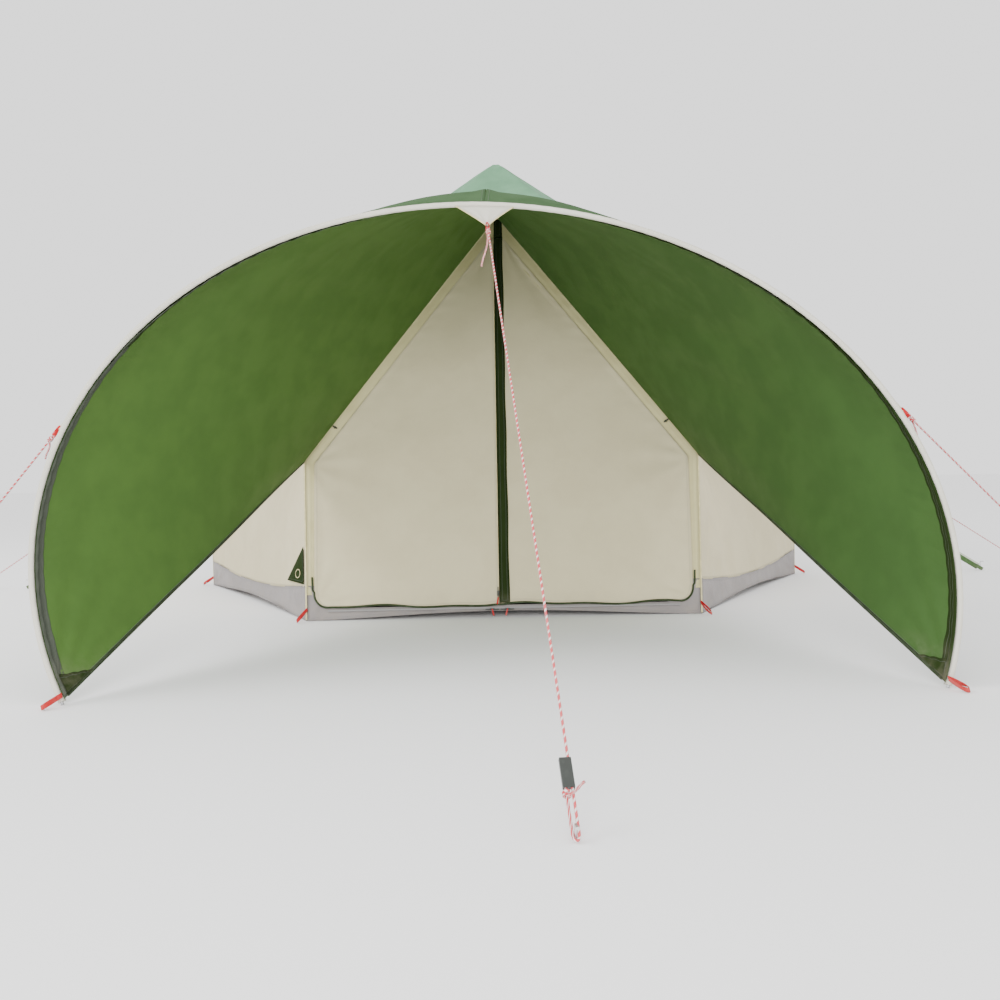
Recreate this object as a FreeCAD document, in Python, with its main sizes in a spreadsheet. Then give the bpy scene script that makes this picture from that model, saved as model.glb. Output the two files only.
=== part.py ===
import FreeCAD, Part
import Sketcher
import math
import os

from FreeCAD import Placement, Rotation, Vector

# A six-sided tent on a centre pole, with an awning hood held up by a bent front arch.
# Millimetres, +Z up, the front of the tent faces -Y. The origin is on the ground,
# under the foot of the centre pole.

SIZES = {
    # six-sided tent
    "corner_radius": 1750,         # centre to a base corner
    "wall_height": 718,            # ground to the eaves
    "peak_height": 2488,           # where the slopes of the peak panel would meet
    "peak_rim_radius": 600,        # centre to a corner of the peak panel's rim
    "peak_rim_height": 2092,
    "front_eave_half": 938,        # centre line to a front eave corner
    "door_head_height": 1945,      # where the slanted edges of the two doors meet
    "hood_seam_height": 2025,      # where the hood's two seams meet on the front face
    "bathtub_height": 150,
    "fabric": 2,                   # thickness of every soft panel
    "seam_gap": 4,                 # a panel stops this far from its seam line
    "floor_thickness": 3,
    "floor_gap": 5,                # floor corner to base corner
    # doors and zips
    "sill_height": 36,
    "door_bottom": 60,
    "door_side_gap": 32,           # door edge to the corner line, at the ground
    "door_eave_gap": 45,           # the same at the eaves
    "door_corner_round": 60,
    "door_split": -18,             # x of the line where the two doors meet
    "door_split_gap": 3,
    "piping_radius": 4,
    "piping_rise": 110,            # how far the piping climbs the door's side
    "zip_width": 7,
    "zip_thickness": 2.5,
    "zip_flap_width": 44,
    "flap_head_gap": 30,           # top of the storm flap to the hood's seam
    "slider_width": 9,
    "slider_length": 22,
    "slider_thickness": 5,
    "pull_length": 30,
    "cable_flap_width": 230,
    "cable_flap_height": 165,
    # awning arch and hood
    "arch_foot_y": -3003,
    "arch_lean": 16.7,             # degrees from upright, towards the tent
    "arch_half_span": 1367,
    "arch_rise": 1139,
    "arch_centre_height": 448,
    "arch_skew": 0.0685,           # sideways drift of the arch per unit of height
    "arch_crown_shift": 73,        # where the hood's middle seam meets the arch
    "rod_radius": 5.5,
    "rod_sections": 8,
    "ferrule_radius": 7,
    "ferrule_length": 60,
    "sleeve_radius": 13,
    "sleeve_wall": 2.5,
    "sleeve_end": 14,              # sleeve end above the ground, along the arch
    "tip_radius": 4,
    "hood_crown": 75,              # rise of the hood between seam and arch
    "hood_gap": 8,
    "foot_patch_length": 150,
    "patch_base": 180,             # crown patch, along the arch
    "patch_reach": 130,
    "side_patch_base": 110,
    "side_patch_reach": 75,
    "side_patch_angle": 67,        # place of the side patches round the arch, degrees
    # centre pole
    "pole_lower_radius": 14,
    "pole_step": 1.4,              # each section is this much thinner than the last
    "pole_wall": 1.2,
    "pole_joint": 120,             # how far one section enters the next
    "pole_lower_length": 860,
    "pole_middle_length": 920,
    "foot_radius": 24,
    "foot_height": 26,
    "foot_floor": 6,
    "fit_gap": 0.2,
    "cap_radius": 26,
    "cap_height": 14,
    # ropes and ground fixings
    "rope_radius": 2.75,
    "rope_turn": 6,                # half the distance between the two strands
    "runner_length": 58,
    "runner_width": 22,
    "runner_thickness": 11,
    "runner_hole": 3.4,
    "runner_gap": 90,              # runner to peg
    "ridge_ring_gap": 24,          # ridge line to the ring of a side rope
    "front_peg_x": 121,
    "front_peg_y": -4068,
    "arch_peg_x": 2090,
    "arch_peg_y": -2625,
    "ridge_rope_radius": 1350,     # where the side ropes leave the ridge
    "ridge_peg_radius": 3168,
    "strap_width": 38,
    "strap_peg_radius": 2850,
    "buckle_gap": 260,             # strap peg to its buckle
    "loop_length": 58,
    "loop_width": 22,
    "loop_band": 4,
    "peg_radius": 2.75,
    "peg_height": 30,
    "peg_hook": 18,
    # toggles
    "toggle_length": 28,
    "toggle_radius": 4,
    "toggle_place": 0.88,          # share of the door's slanted edge, from the top
}

document = FreeCAD.newDocument("pole_tent")
sheet = document.addObject("Spreadsheet::Sheet", "Sizes")
for row, (alias, value) in enumerate(SIZES.items(), start=1):
    sheet.set(f"A{row}", alias)
    sheet.set(f"B{row}", str(value))
    sheet.setAlias(f"B{row}", alias)
document.recompute()

UP = Vector(0, 0, 1)
RIGHT = Vector(1, 0, 0)
HEX_STEP = 60

nodes = []


def size(alias):
    return float(sheet.get(alias))


# ---------------------------------------------------------------- points of the tent

def mix(start, end, share):
    return start + (end - start) * share


def corner(index, radius, height):
    angle = math.radians(HEX_STEP * index)
    return Vector(radius * math.cos(angle), radius * math.sin(angle), height)


def base_corner(index):
    return corner(index, size("corner_radius"), 0)


def rim_corner(index):
    return corner(index, size("peak_rim_radius"), size("peak_rim_height"))


front_foot = Vector(0, base_corner(4).y, 0)
front_head = Vector(0, rim_corner(4).y, size("peak_rim_height"))
front_up = (front_head - front_foot).normalize()
front_out = RIGHT.cross(front_up)


def front_point(x, height, out=0):
    """Point of the leaning front face at this x and this height above the ground."""
    return front_foot + RIGHT * x + front_up * (height / front_up.z) + front_out * out


def eave_corner(index):
    if index in (4, 5):
        side = -1 if index == 4 else 1
        return front_point(side * size("front_eave_half"), size("wall_height"))
    return corner(index, size("corner_radius"), size("wall_height"))


# left, right base corner of each side, seen from inside the tent
SIDES = {
    "rear_right": (0, 1),
    "rear": (1, 2),
    "rear_left": (2, 3),
    "front_left": (3, 4),
    "front_right": (5, 0),
}


# ---------------------------------------------------------------- building blocks

def add_shape(name, shape):
    """A sub-part whose shape is worked out from the sheet's sizes."""
    part = document.addObject("Part::Feature", name)
    part.Shape = shape
    part.Label = name
    part.Placement = Placement()
    nodes.append(part)
    return part


def keep(part, name):
    part.Label = name
    nodes.append(part)
    return part


def face_of(points):
    return Part.Face(Part.makePolygon(points + [points[0]]))


def facets(a, b, c, d):
    """One flat face where the four corners are in a plane, or else two triangles."""
    twist = (b - a).cross(c - a).dot(d - a)
    if abs(twist) < 1e-3:
        return [face_of([a, b, c, d])]
    return [face_of([a, b, c]), face_of([a, c, d])]


def grid_normal(grid, row, column):
    last_row = len(grid) - 1
    last_column = len(grid[0]) - 1
    along = grid[row][min(column + 1, last_column)] - grid[row][max(column - 1, 0)]
    across = grid[min(row + 1, last_row)][column] - grid[max(row - 1, 0)][column]
    return along.cross(across).normalize()


def offset_grid(grid, distance, away_from):
    """The same grid moved along its normals, away from a point."""
    moved = []
    for row, line in enumerate(grid):
        new_line = []
        for column, point in enumerate(line):
            normal = grid_normal(grid, row, column)
            if normal.dot(point - away_from) < 0:
                normal = -normal
            new_line.append(point + normal * distance)
        moved.append(new_line)
    return moved


def sheet_solid(grid, thickness, inside):
    """Closed solid between a grid of points and the same grid moved towards the inside."""
    inner = offset_grid(grid, -thickness, inside)
    rows = len(grid) - 1
    columns = len(grid[0]) - 1
    faces = []
    for row in range(rows):
        for column in range(columns):
            for layer in (grid, inner):
                faces += facets(layer[row][column], layer[row][column + 1],
                                layer[row + 1][column + 1], layer[row + 1][column])
    for column in range(columns):
        for row in (0, rows):
            faces += facets(grid[row][column], grid[row][column + 1],
                            inner[row][column + 1], inner[row][column])
    for row in range(rows):
        for column in (0, columns):
            faces += facets(grid[row][column], grid[row + 1][column],
                            inner[row + 1][column], inner[row][column])
    shell = Part.makeShell(faces)
    shell.sewShape()
    solid = Part.Solid(shell)
    if solid.Volume < 0:
        solid.reverse()
    return solid


def patch(low_left, low_right, high_left, high_right, rows, columns, trims):
    """Grid of the surface between four corners; trims are cut off left, right, low, high."""
    width = (low_right - low_left).Length
    height = (high_left - low_left).Length
    left, right, low, high = trims
    grid = []
    for row in range(rows + 1):
        rise = (low + (height - low - high) * row / rows) / height
        start = mix(low_left, high_left, rise)
        end = mix(low_right, high_right, rise)
        line = []
        for column in range(columns + 1):
            share = (left + (width - left - right) * column / columns) / width
            line.append(mix(start, end, share))
        grid.append(line)
    return grid


def prism(points, direction, thickness):
    return face_of(points).extrude(Vector(direction).normalize() * thickness)


def inset(points, normal, distance):
    """A flat convex polygon with every edge moved inwards."""
    centre = sum(points, Vector()) * (1 / len(points))
    count = len(points)
    lines = []
    for index in range(count):
        start = points[index]
        along = (points[(index + 1) % count] - start).normalize()
        inward = normal.cross(along)
        if inward.dot(centre - start) < 0:
            inward = -inward
        lines.append((start + inward * distance, along, inward))
    moved = []
    for index in range(count):
        start, along, _ = lines[index - 1]
        other, _, inward = lines[index]
        reach = (other - start).dot(inward) / along.dot(inward)
        moved.append(start + along * reach)
    return moved


def pipe(wire, radius):
    start = wire.Edges[0]
    tangent = start.tangentAt(start.FirstParameter)
    point = start.valueAt(start.FirstParameter)
    ring = Part.Wire(Part.Circle(point, tangent, radius).toShape())
    return wire.makePipeShell([ring], True, False)


def frame_at(point, z_axis, x_axis):
    """Placement with its Z along z_axis and its X as near x_axis as that allows."""
    z_axis = Vector(z_axis).normalize()
    y_axis = z_axis.cross(x_axis).normalize()
    return Placement(point, Rotation(y_axis.cross(z_axis), y_axis, z_axis, "ZXY"))


def origin_plane(body, role):
    return next(item for item in body.Origin.OriginFeatures if item.Role == role)


def new_body(name):
    body = document.addObject("PartDesign::Body", name)
    nodes.append(body)
    body.Label = name
    return body


def new_sketch(body, name, role):
    sketch = body.newObject("Sketcher::SketchObject", name)
    sketch.AttachmentSupport = [(origin_plane(body, role), "")]
    sketch.MapMode = "FlatFace"
    return sketch


def add_circle(sketch, radius, x="0"):
    """A circle on the sketch's own X axis; radius and x are expressions."""
    index = sketch.addGeometry(Part.Circle(Vector(1, 0, 0), UP, 1), False)
    ring = sketch.addConstraint(Sketcher.Constraint("Radius", index, 1))
    sketch.setExpression(f"Constraints[{ring}]", radius)
    sketch.addConstraint(Sketcher.Constraint("DistanceY", -1, 1, index, 3, 0))
    place = sketch.addConstraint(Sketcher.Constraint("DistanceX", -1, 1, index, 3, 1))
    sketch.setExpression(f"Constraints[{place}]", x)


def add_rectangle(sketch, width, depth):
    """A rectangle centred on the sketch's origin; width and depth are expressions."""
    ends = [Vector(-1, -1, 0), Vector(1, -1, 0), Vector(1, 1, 0), Vector(-1, 1, 0)]
    first = sketch.GeometryCount
    for index in range(4):
        sketch.addGeometry(Part.LineSegment(ends[index], ends[(index + 1) % 4]), False)
    for index in range(4):
        follower = first + (index + 1) % 4
        joined = Sketcher.Constraint("Coincident", first + index, 2, follower, 1)
        sketch.addConstraint(joined)
        direction = "Horizontal" if index % 2 == 0 else "Vertical"
        sketch.addConstraint(Sketcher.Constraint(direction, first + index))
    centred = Sketcher.Constraint("Symmetric", first, 1, first + 1, 2, -1, 1)
    sketch.addConstraint(centred)
    span = sketch.addConstraint(Sketcher.Constraint("DistanceX", first, 1, first, 2, 2))
    sketch.setExpression(f"Constraints[{span}]", width)
    rise = sketch.addConstraint(Sketcher.Constraint("DistanceY", first + 1, 1, first + 1, 2, 2))
    sketch.setExpression(f"Constraints[{rise}]", depth)


def add_pad(body, sketch, length):
    pad = body.newObject("PartDesign::Pad", body.Name + "_pad")
    pad.Profile = sketch
    pad.setExpression("Length", length)
    sketch.Visibility = False
    return pad


def add_pocket(body, sketch, length):
    """Cuts along +Z from the sketch's plane."""
    pocket = body.newObject("PartDesign::Pocket", body.Name + "_pocket")
    pocket.Profile = sketch
    pocket.setExpression("Length", length)
    pocket.Reversed = True
    return pocket


# ---------------------------------------------------------------- six-sided tent

INSIDE = Vector(0, 0, size("wall_height"))


def make_groundsheet():
    floor = document.addObject("Part::Prism", "groundsheet")
    floor.Polygon = 6
    floor.setExpression("Circumradius", "Sizes.corner_radius - Sizes.floor_gap")
    floor.setExpression("Height", "Sizes.floor_thickness")
    keep(floor, "groundsheet")


def wall_patch(side, low, high, rows, columns):
    """Grid of one side wall between two heights."""
    left, right = SIDES[side]
    share_low = low / size("wall_height")
    share_high = high / size("wall_height")
    ends = []
    for share in (share_low, share_high):
        for index in (left, right):
            ends.append(mix(base_corner(index), eave_corner(index), share))
    gap = size("seam_gap")
    trims = (gap, gap, 0, gap)
    return patch(ends[0], ends[1], ends[2], ends[3], rows, columns, trims)


def make_bathtub():
    """The five upright rims of the floor; the sixth is the low door sill."""
    rims = []
    for side in SIDES:
        grid = wall_patch(side, 0, size("bathtub_height"), 1, 2)
        rims.append(sheet_solid(grid, size("fabric"), INSIDE))
    add_shape("bathtub_rim", Part.makeCompound(rims))


def make_walls():
    for side in SIDES:
        grid = wall_patch(side, size("bathtub_height"), size("wall_height"), 2, 4)
        add_shape(f"wall_{side}", sheet_solid(grid, size("fabric"), INSIDE))


def make_roof():
    gap = size("seam_gap")
    for side, (left, right) in SIDES.items():
        grid = patch(eave_corner(left), eave_corner(right), rim_corner(left),
                     rim_corner(right), 3, 3, (gap, gap, gap, gap))
        # the seam gap is a length along the eave, so it narrows towards the peak
        add_shape(f"roof_{side}", sheet_solid(grid, size("fabric"), INSIDE))


def hexagon(radius, height):
    return Part.makePolygon([corner(index, radius, height) for index in range(7)])


def make_peak_panel():
    """Shallow six-sided cap with a small flat top that sits on the pole's cap."""
    rise = size("peak_height") - size("peak_rim_height")
    slope = rise / size("peak_rim_radius")
    top_radius = size("cap_radius")
    drop = size("fabric") * math.hypot(1, slope)
    rim_radius = size("peak_rim_radius") - size("seam_gap")
    rim_height = size("peak_height") - slope * rim_radius
    top_height = size("peak_height") - slope * top_radius
    outer = Part.makeLoft([hexagon(rim_radius, rim_height), hexagon(top_radius, top_height)], True)
    inner = Part.makeLoft([hexagon(rim_radius, rim_height - drop),
                           hexagon(top_radius, top_height - drop)], True)
    add_shape("peak_panel", outer.cut(inner))


def hood_seam(side):
    """Top and eave end of the line along which the hood is sewn to the front face."""
    return front_point(0, size("hood_seam_height")), eave_corner(4 if side < 0 else 5)


def door_edge(side):
    """Top and eave end of a door's slanted edge; side is -1 for left, 1 for right."""
    half = size("front_eave_half") - size("door_eave_gap")
    top = front_point(0, size("door_head_height"))
    return top, front_point(side * half, size("wall_height"))


def front_strip(points):
    """Flat piece of the front face, with a seam gap all round."""
    return prism(inset(points, front_out, size("seam_gap") / 2), -front_out, size("fabric"))


def make_door_header():
    """Cream strips beside the doors: up each side, then along each slanted edge."""
    strips = []
    clear = size("piping_radius") * 3 + 1
    low = size("sill_height") + size("seam_gap")
    for side in (-1, 1):
        seam_top, eave = hood_seam(side)
        door_top, door_eave = door_edge(side)
        strips.append(front_strip([seam_top, eave, door_eave, door_top]))
        low_half = abs(base_corner(4).x) - size("seam_gap")
        low_inner = abs(base_corner(4).x) - size("door_side_gap") + clear
        strips.append(front_strip([eave - RIGHT * side * size("seam_gap"),
                                   door_eave + RIGHT * side * size("seam_gap"),
                                   front_point(side * low_inner, low),
                                   front_point(side * low_half, low)]))
    add_shape("door_header", Part.makeCompound(strips))


def make_front_gable():
    """Green roof cloth of the front face, between the hood's seam and the ridges."""
    # each half narrows to nothing at the eave, so it is cut off a little above it
    low_share = 0.93
    halves = []
    for side in (-1, 1):
        seam_top, eave = hood_seam(side)
        rim = rim_corner(4 if side < 0 else 5)
        halves.append(front_strip([front_point(0, size("peak_rim_height")), rim,
                                   mix(rim, eave, low_share), mix(seam_top, eave, low_share),
                                   seam_top]))
    add_shape("front_gable", Part.makeCompound(halves))


# ---------------------------------------------------------------- doors and zips

def door_corners(side):
    """Door outline from the split at the top, down the slanted edge and round."""
    top, eave = door_edge(side)
    split = size("door_split")
    gap = size("door_split_gap") / 2
    middle = split - gap if side < 0 else split + gap
    slant = (eave - top).normalize()
    clear = size("seam_gap") * 2
    reach = (abs(middle) + clear * 2) / abs(slant.x)
    high = top + slant * reach
    low_x = abs(base_corner(4).x) - size("door_side_gap")
    side_top = eave - RIGHT * side * clear / 2 - front_up * clear * 2
    bottom = size("door_bottom")
    return {
        "middle_top": front_point(middle, high.z - clear * 3),
        "slant_top": high - RIGHT * side * clear / 2 - front_up * clear,
        "eave": side_top,
        "corner": front_point(side * low_x, bottom),
        "middle_bottom": front_point(middle, bottom),
    }


def round_corner(before, point, after, radius):
    """Tangent points and middle of an arc that rounds the corner at point."""
    back = (before - point).normalize()
    ahead = (after - point).normalize()
    half = back.getAngle(ahead) / 2
    reach = radius / math.tan(half)
    centre = point + (back + ahead).normalize() * (radius / math.sin(half))
    middle = centre + (point - centre).normalize() * radius
    return point + back * reach, middle, point + ahead * reach


def make_door(side, name):
    points = door_corners(side)
    start, middle, end = round_corner(points["eave"], points["corner"],
                                      points["middle_bottom"], size("door_corner_round"))
    edges = [
        Part.LineSegment(points["middle_top"], points["slant_top"]).toShape(),
        Part.LineSegment(points["slant_top"], points["eave"]).toShape(),
        Part.LineSegment(points["eave"], start).toShape(),
        Part.Arc(start, middle, end).toShape(),
        Part.LineSegment(end, points["middle_bottom"]).toShape(),
        Part.LineSegment(points["middle_bottom"], points["middle_top"]).toShape(),
    ]
    panel = Part.Face(Part.Wire(edges)).extrude(front_out * -size("fabric"))
    add_shape(name, panel)


def make_door_piping(side, name):
    """Round piping just outside the door's bottom edge, up round its lower corner."""
    points = door_corners(side)
    radius = size("piping_radius")
    out = size("piping_radius") + 1
    bottom = size("door_bottom") - out
    foot = front_point(points["middle_bottom"].x, bottom)
    turn = points["corner"] + RIGHT * side * out
    turn = front_point(turn.x, bottom)
    rise = (points["eave"] - points["corner"]).normalize()
    climb = turn + rise * size("piping_rise")
    start, middle, end = round_corner(foot, turn, climb, size("door_corner_round") + out)
    wire = Part.Wire([
        Part.LineSegment(foot, start).toShape(),
        Part.Arc(start, middle, end).toShape(),
        Part.LineSegment(end, climb).toShape(),
    ])
    add_shape(name, pipe(wire, radius))


def strip_up(x_low, x_high, bottom, top, out, thickness):
    """Flat strip on the front face; out is the height of its inner side above the face."""
    points = [front_point(x_low, bottom, out), front_point(x_high, bottom, out),
              front_point(x_high, top, out), front_point(x_low, top, out)]
    return prism(points, front_out, thickness)


def zip_top():
    return door_corners(-1)["middle_top"].z - size("seam_gap") * 3


def make_zips():
    """Coil halves behind the door edges, the bottom coil on the sill, and the storm flap."""
    width = size("zip_width")
    thickness = size("zip_thickness")
    behind = -size("fabric") - thickness - 0.5
    bottom = size("door_bottom") + 2
    for side, name in ((-1, "zip_tape_left"), (1, "zip_tape_right")):
        middle = door_corners(side)["middle_bottom"].x
        low = middle - width if side < 0 else middle
        strip = strip_up(low, low + width, bottom, zip_top(), behind, thickness)
        add_shape(name, strip)
    middle = door_corners(1)["middle_bottom"].x
    flap = strip_up(middle, middle + size("zip_flap_width"), bottom, zip_top(),
                    0.5, size("fabric"))
    add_shape("zip_flap", flap)
    head = strip_up(middle, middle + size("zip_flap_width"),
                    door_corners(1)["slant_top"].z + size("seam_gap") * 2,
                    size("hood_seam_height") - size("flap_head_gap"), 0.5, size("fabric"))
    add_shape("zip_flap_head", head)
    half = abs(base_corner(4).x) - size("door_side_gap") - size("door_corner_round")
    low = size("sill_height") + 2
    coil = strip_up(-half, half, low, low + width, -thickness, thickness)
    add_shape("zip_bottom", coil)


def make_sill():
    half_low = abs(base_corner(4).x) - size("seam_gap") * 3
    points = [front_point(-half_low, 1), front_point(half_low, 1),
              front_point(half_low, size("sill_height")),
              front_point(-half_low, size("sill_height"))]
    add_shape("door_sill", prism(points, -front_out, size("fabric")))


def make_slider(name, point, along):
    """Zip slider: a rounded block with a ring and a pull tab; its length runs along."""
    body = new_body(name)
    block = new_sketch(body, name + "_block", "XY_Plane")
    add_rectangle(block, "Sizes.slider_width", "Sizes.slider_length")
    add_pad(body, block, "Sizes.slider_thickness")
    document.recompute()
    tab = new_sketch(body, name + "_tab", "XY_Plane")
    add_rectangle(tab, "Sizes.slider_width * 0.55", "Sizes.pull_length * 2")
    add_pad(body, tab, "Sizes.fabric")
    tab.setExpression(".AttachmentOffset.Base.z", "Sizes.slider_thickness / 2")
    body.Placement = Placement(point, Rotation(along.cross(front_out), along, front_out, "ZYX"))


def make_sliders():
    out = 0.6
    half = size("slider_length") / 2
    x = size("door_split") - size("door_split_gap") / 2 - size("slider_width") / 2 - 0.5
    low = size("door_bottom") + size("pull_length") + half
    make_slider("zip_slider_centre", front_point(x, low, out), front_up)
    sill = size("sill_height") - size("slider_width") / 2 + 3
    split = size("door_split")
    reach = size("pull_length") + 4
    make_slider("zip_slider_left", front_point(split - reach, sill, out), -RIGHT)
    make_slider("zip_slider_right", front_point(split + reach, sill, out), RIGHT)


def make_cable_flap():
    """Triangular cover over a cable entry, on the left front wall beside the door."""
    low = size("bathtub_height") + size("seam_gap")
    high = low + size("cable_flap_height")
    wall = size("wall_height")
    heel = mix(base_corner(4), eave_corner(4), low / wall)
    head = mix(base_corner(4), eave_corner(4), high / wall)
    far = mix(base_corner(3), eave_corner(3), low / wall)
    along = (far - heel).normalize()
    start = along * size("seam_gap") * 4
    tip = heel + start + along * size("cable_flap_width")
    points = [heel + start, tip, head + start]
    out = (points[1] - points[0]).cross(points[2] - points[0]).normalize()
    if out.y > 0:
        out = -out
    points = [point + out * size("seam_gap") for point in points]
    add_shape("cable_flap", prism(points, out, size("fabric")))


def make_toggles():
    """Toggle bars that hold the rolled doors, each on the header beside its door."""
    for side, name in ((-1, "toggle_left"), (1, "toggle_right")):
        top, eave = door_edge(side)
        point = mix(top, eave, size("toggle_place"))
        slant = (eave - top).normalize()
        across = front_out.cross(slant)
        if across.x * side < 0:
            across = -across
        out = size("toggle_radius") + 4
        start = point + across * 2 + front_out * out
        bar = document.addObject("Part::Cylinder", name)
        bar.setExpression("Radius", "Sizes.toggle_radius")
        bar.setExpression("Height", "Sizes.toggle_length")
        bar.Placement = frame_at(start, across, slant)
        keep(bar, name)


# ---------------------------------------------------------------- arch and hood

def arch_place(x, height):
    """Point of the leaning arch plane at this x and this distance up the plane."""
    lean = math.radians(size("arch_lean"))
    y = size("arch_foot_y") + height * math.sin(lean)
    return Vector(x, y, height * math.cos(lean))


def arch_point(angle):
    """Arch centre line; angle 0 is the crown, positive to the right, in radians."""
    height = size("arch_centre_height") + size("arch_rise") * math.cos(angle)
    x = size("arch_half_span") * math.sin(angle) - size("arch_skew") * height
    return arch_place(x, height)


def arch_tangent(angle):
    rise = -size("arch_rise") * math.sin(angle)
    run = size("arch_half_span") * math.cos(angle) - size("arch_skew") * rise
    return (arch_place(run, rise) - arch_place(0, 0)).normalize()


def foot_angle(height):
    """Angle at which the arch is this far up its plane."""
    return math.acos((height - size("arch_centre_height")) / size("arch_rise"))


def arc_through(start, end, tangent):
    """Circular arc from start to end that leaves along the tangent."""
    chord = end - start
    half = tangent.getAngle(chord)
    across = tangent - chord * (tangent.dot(chord) / chord.dot(chord))
    if half < 1e-5:
        return Part.LineSegment(start, end).toShape()
    middle = (start + end) * 0.5
    middle += across.normalize() * (chord.Length / 2 * math.tan(half / 2))
    return Part.Arc(start, middle, end).toShape()


def arch_wire(start, end, stations):
    """Arch centre line as pairs of tangent arcs between stations."""
    edges = []
    for index in range(stations):
        first = start + (end - start) * index / stations
        second = start + (end - start) * (index + 1) / stations
        here, there = arch_point(first), arch_point(second)
        leave, arrive = arch_tangent(first), arch_tangent(second)
        gap = there - here
        both = leave + arrive
        spread = 2 * (1 - leave.dot(arrive))
        root = math.sqrt(gap.dot(both) ** 2 + 2 * spread * gap.dot(gap))
        reach = (root - gap.dot(both)) / (2 * spread) * 2
        joint = (here + there + (leave - arrive) * (reach / 2)) * 0.5
        edges.append(arc_through(here, joint, leave))
        flipped = arc_through(there, joint, -arrive)
        edges.append(flipped)
    return Part.Wire(Part.__sortEdges__(edges))


def make_sleeve():
    limit = foot_angle(size("sleeve_end"))
    path = arch_wire(-limit, limit, 10)
    outer = pipe(path, size("sleeve_radius"))
    inner = pipe(path, size("sleeve_radius") - size("sleeve_wall"))
    add_shape("arch_sleeve", outer.cut(inner))


def make_rod():
    """Rod sections end to end, a ferrule over each joint, and a steel tip at each foot."""
    tip_end = 32
    limit = foot_angle(tip_end)
    count = int(size("rod_sections"))
    step = 2 * limit / count
    rods = []
    ferrules = []
    bore = size("rod_radius") + size("fit_gap")
    for index in range(count):
        start = -limit + step * index
        slip = 0.0005
        rods.append(pipe(arch_wire(start + slip, start + step - slip, 2), size("rod_radius")))
    half = size("ferrule_length") / 2 / size("arch_half_span")
    for index in range(1, count):
        middle = -limit + step * index
        wire = arch_wire(middle - half, middle + half, 1)
        ferrules.append(pipe(wire, size("ferrule_radius")).cut(pipe(wire, bore)))
    add_shape("arch_rods", Part.makeCompound(rods))
    add_shape("arch_ferrules", Part.makeCompound(ferrules))
    tips = []
    for side in (-1, 1):
        angle = side * limit
        down = arch_tangent(angle) * side
        top = arch_point(angle) + down * 1
        length = (top.z - size("tip_radius") / 2) / -down.z
        tips.append(Part.makeCylinder(size("tip_radius"), length, top, down))
    add_shape("arch_tips", Part.makeCompound(tips))


def crown_angle():
    return size("arch_crown_shift") / size("arch_half_span")


def hood_inner(side, share):
    """Seam of the hood on the tent's front face, from the middle down to the eave."""
    top, eave = hood_seam(side)
    return mix(top, eave, share)


def hood_angle(side, share):
    """Where on the arch this share of the hood ends."""
    limit = foot_angle(size("sleeve_end"))
    return crown_angle() + (side * limit - crown_angle()) * share


def hood_point(side, share, out):
    """Point of the hood: share 0 at the middle seam, 1 at the free edge; out 0 at the
    tent, 1 at the arch's centre line."""
    rise = size("hood_crown") * math.sin(math.pi * out) * (1 - share)
    far = arch_point(hood_angle(side, share))
    return mix(hood_inner(side, share), far, out) + UP * rise


def hood_grid(side, shares, outs):
    """Hood points between trimmed edges; outs are shares of each ruling."""
    grid = []
    for share in shares:
        ruling = hood_point(side, share, 1) - hood_point(side, share, 0)
        crossing = ruling.getAngle(arch_tangent(hood_angle(side, share)))
        end_gap = (size("sleeve_radius") + 3) / math.sin(crossing)
        low = size("hood_gap") / ruling.Length
        high = 1 - end_gap / ruling.Length
        grid.append([hood_point(side, share, low + (high - low) * out) for out in outs])
    return grid


def under_hood():
    return Vector(0, size("arch_foot_y") / 2, 0)


def make_hood():
    middle_gap = 0.002
    steps = 12
    shares = [middle_gap] + [index / steps for index in range(1, steps + 1)]
    outs = [index / 6 for index in range(7)]
    for side, name in ((-1, "hood_left"), (1, "hood_right")):
        grid = hood_grid(side, shares, outs)
        add_shape(name, sheet_solid(grid, size("fabric"), under_hood()))


def make_foot_patches():
    """Reinforcement on the outside of the hood at each arch foot."""
    patches = []
    for side in (-1, 1):
        length = (hood_point(side, 1, 1) - hood_point(side, 1, 0)).Length
        start = 1 - size("foot_patch_length") / length
        shares = [0.93, 0.965, 0.995]
        outs = [start, (1 + start) / 2, 0.997]
        grid = hood_grid(side, shares, outs)
        grid = offset_grid(grid, size("fabric") + 1, under_hood())
        patches.append(sheet_solid(grid, size("fabric"), under_hood()))
    add_shape("foot_patches", Part.makeCompound(patches))


# ---------------------------------------------------------------- guy points

def peg_point(name):
    places = {
        "front": Vector(size("front_peg_x"), size("front_peg_y"), 0),
        "arch_left": Vector(-size("arch_peg_x"), size("arch_peg_y"), 0),
        "arch_right": Vector(size("arch_peg_x"), size("arch_peg_y"), 0),
        "ridge_left": Vector(-size("ridge_peg_radius"), 0, 0),
        "ridge_right": Vector(size("ridge_peg_radius"), 0, 0),
    }
    return places[name]


ROPES = ("front", "arch_left", "arch_right", "ridge_left", "ridge_right")
ARCH_ROPES = ROPES[:3]


def guy_angle(name):
    """Place of a guy patch round the arch."""
    side_angle = math.radians(size("side_patch_angle"))
    return {"front": crown_angle(), "arch_left": -side_angle, "arch_right": side_angle}[name]


def patch_tip(name):
    """Tip of a guy patch, on the line from the arch to the rope's peg."""
    centre = arch_point(guy_angle(name))
    reach = size("patch_reach") if name == "front" else size("side_patch_reach")
    return centre + (peg_point(name) - centre).normalize() * reach


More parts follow.
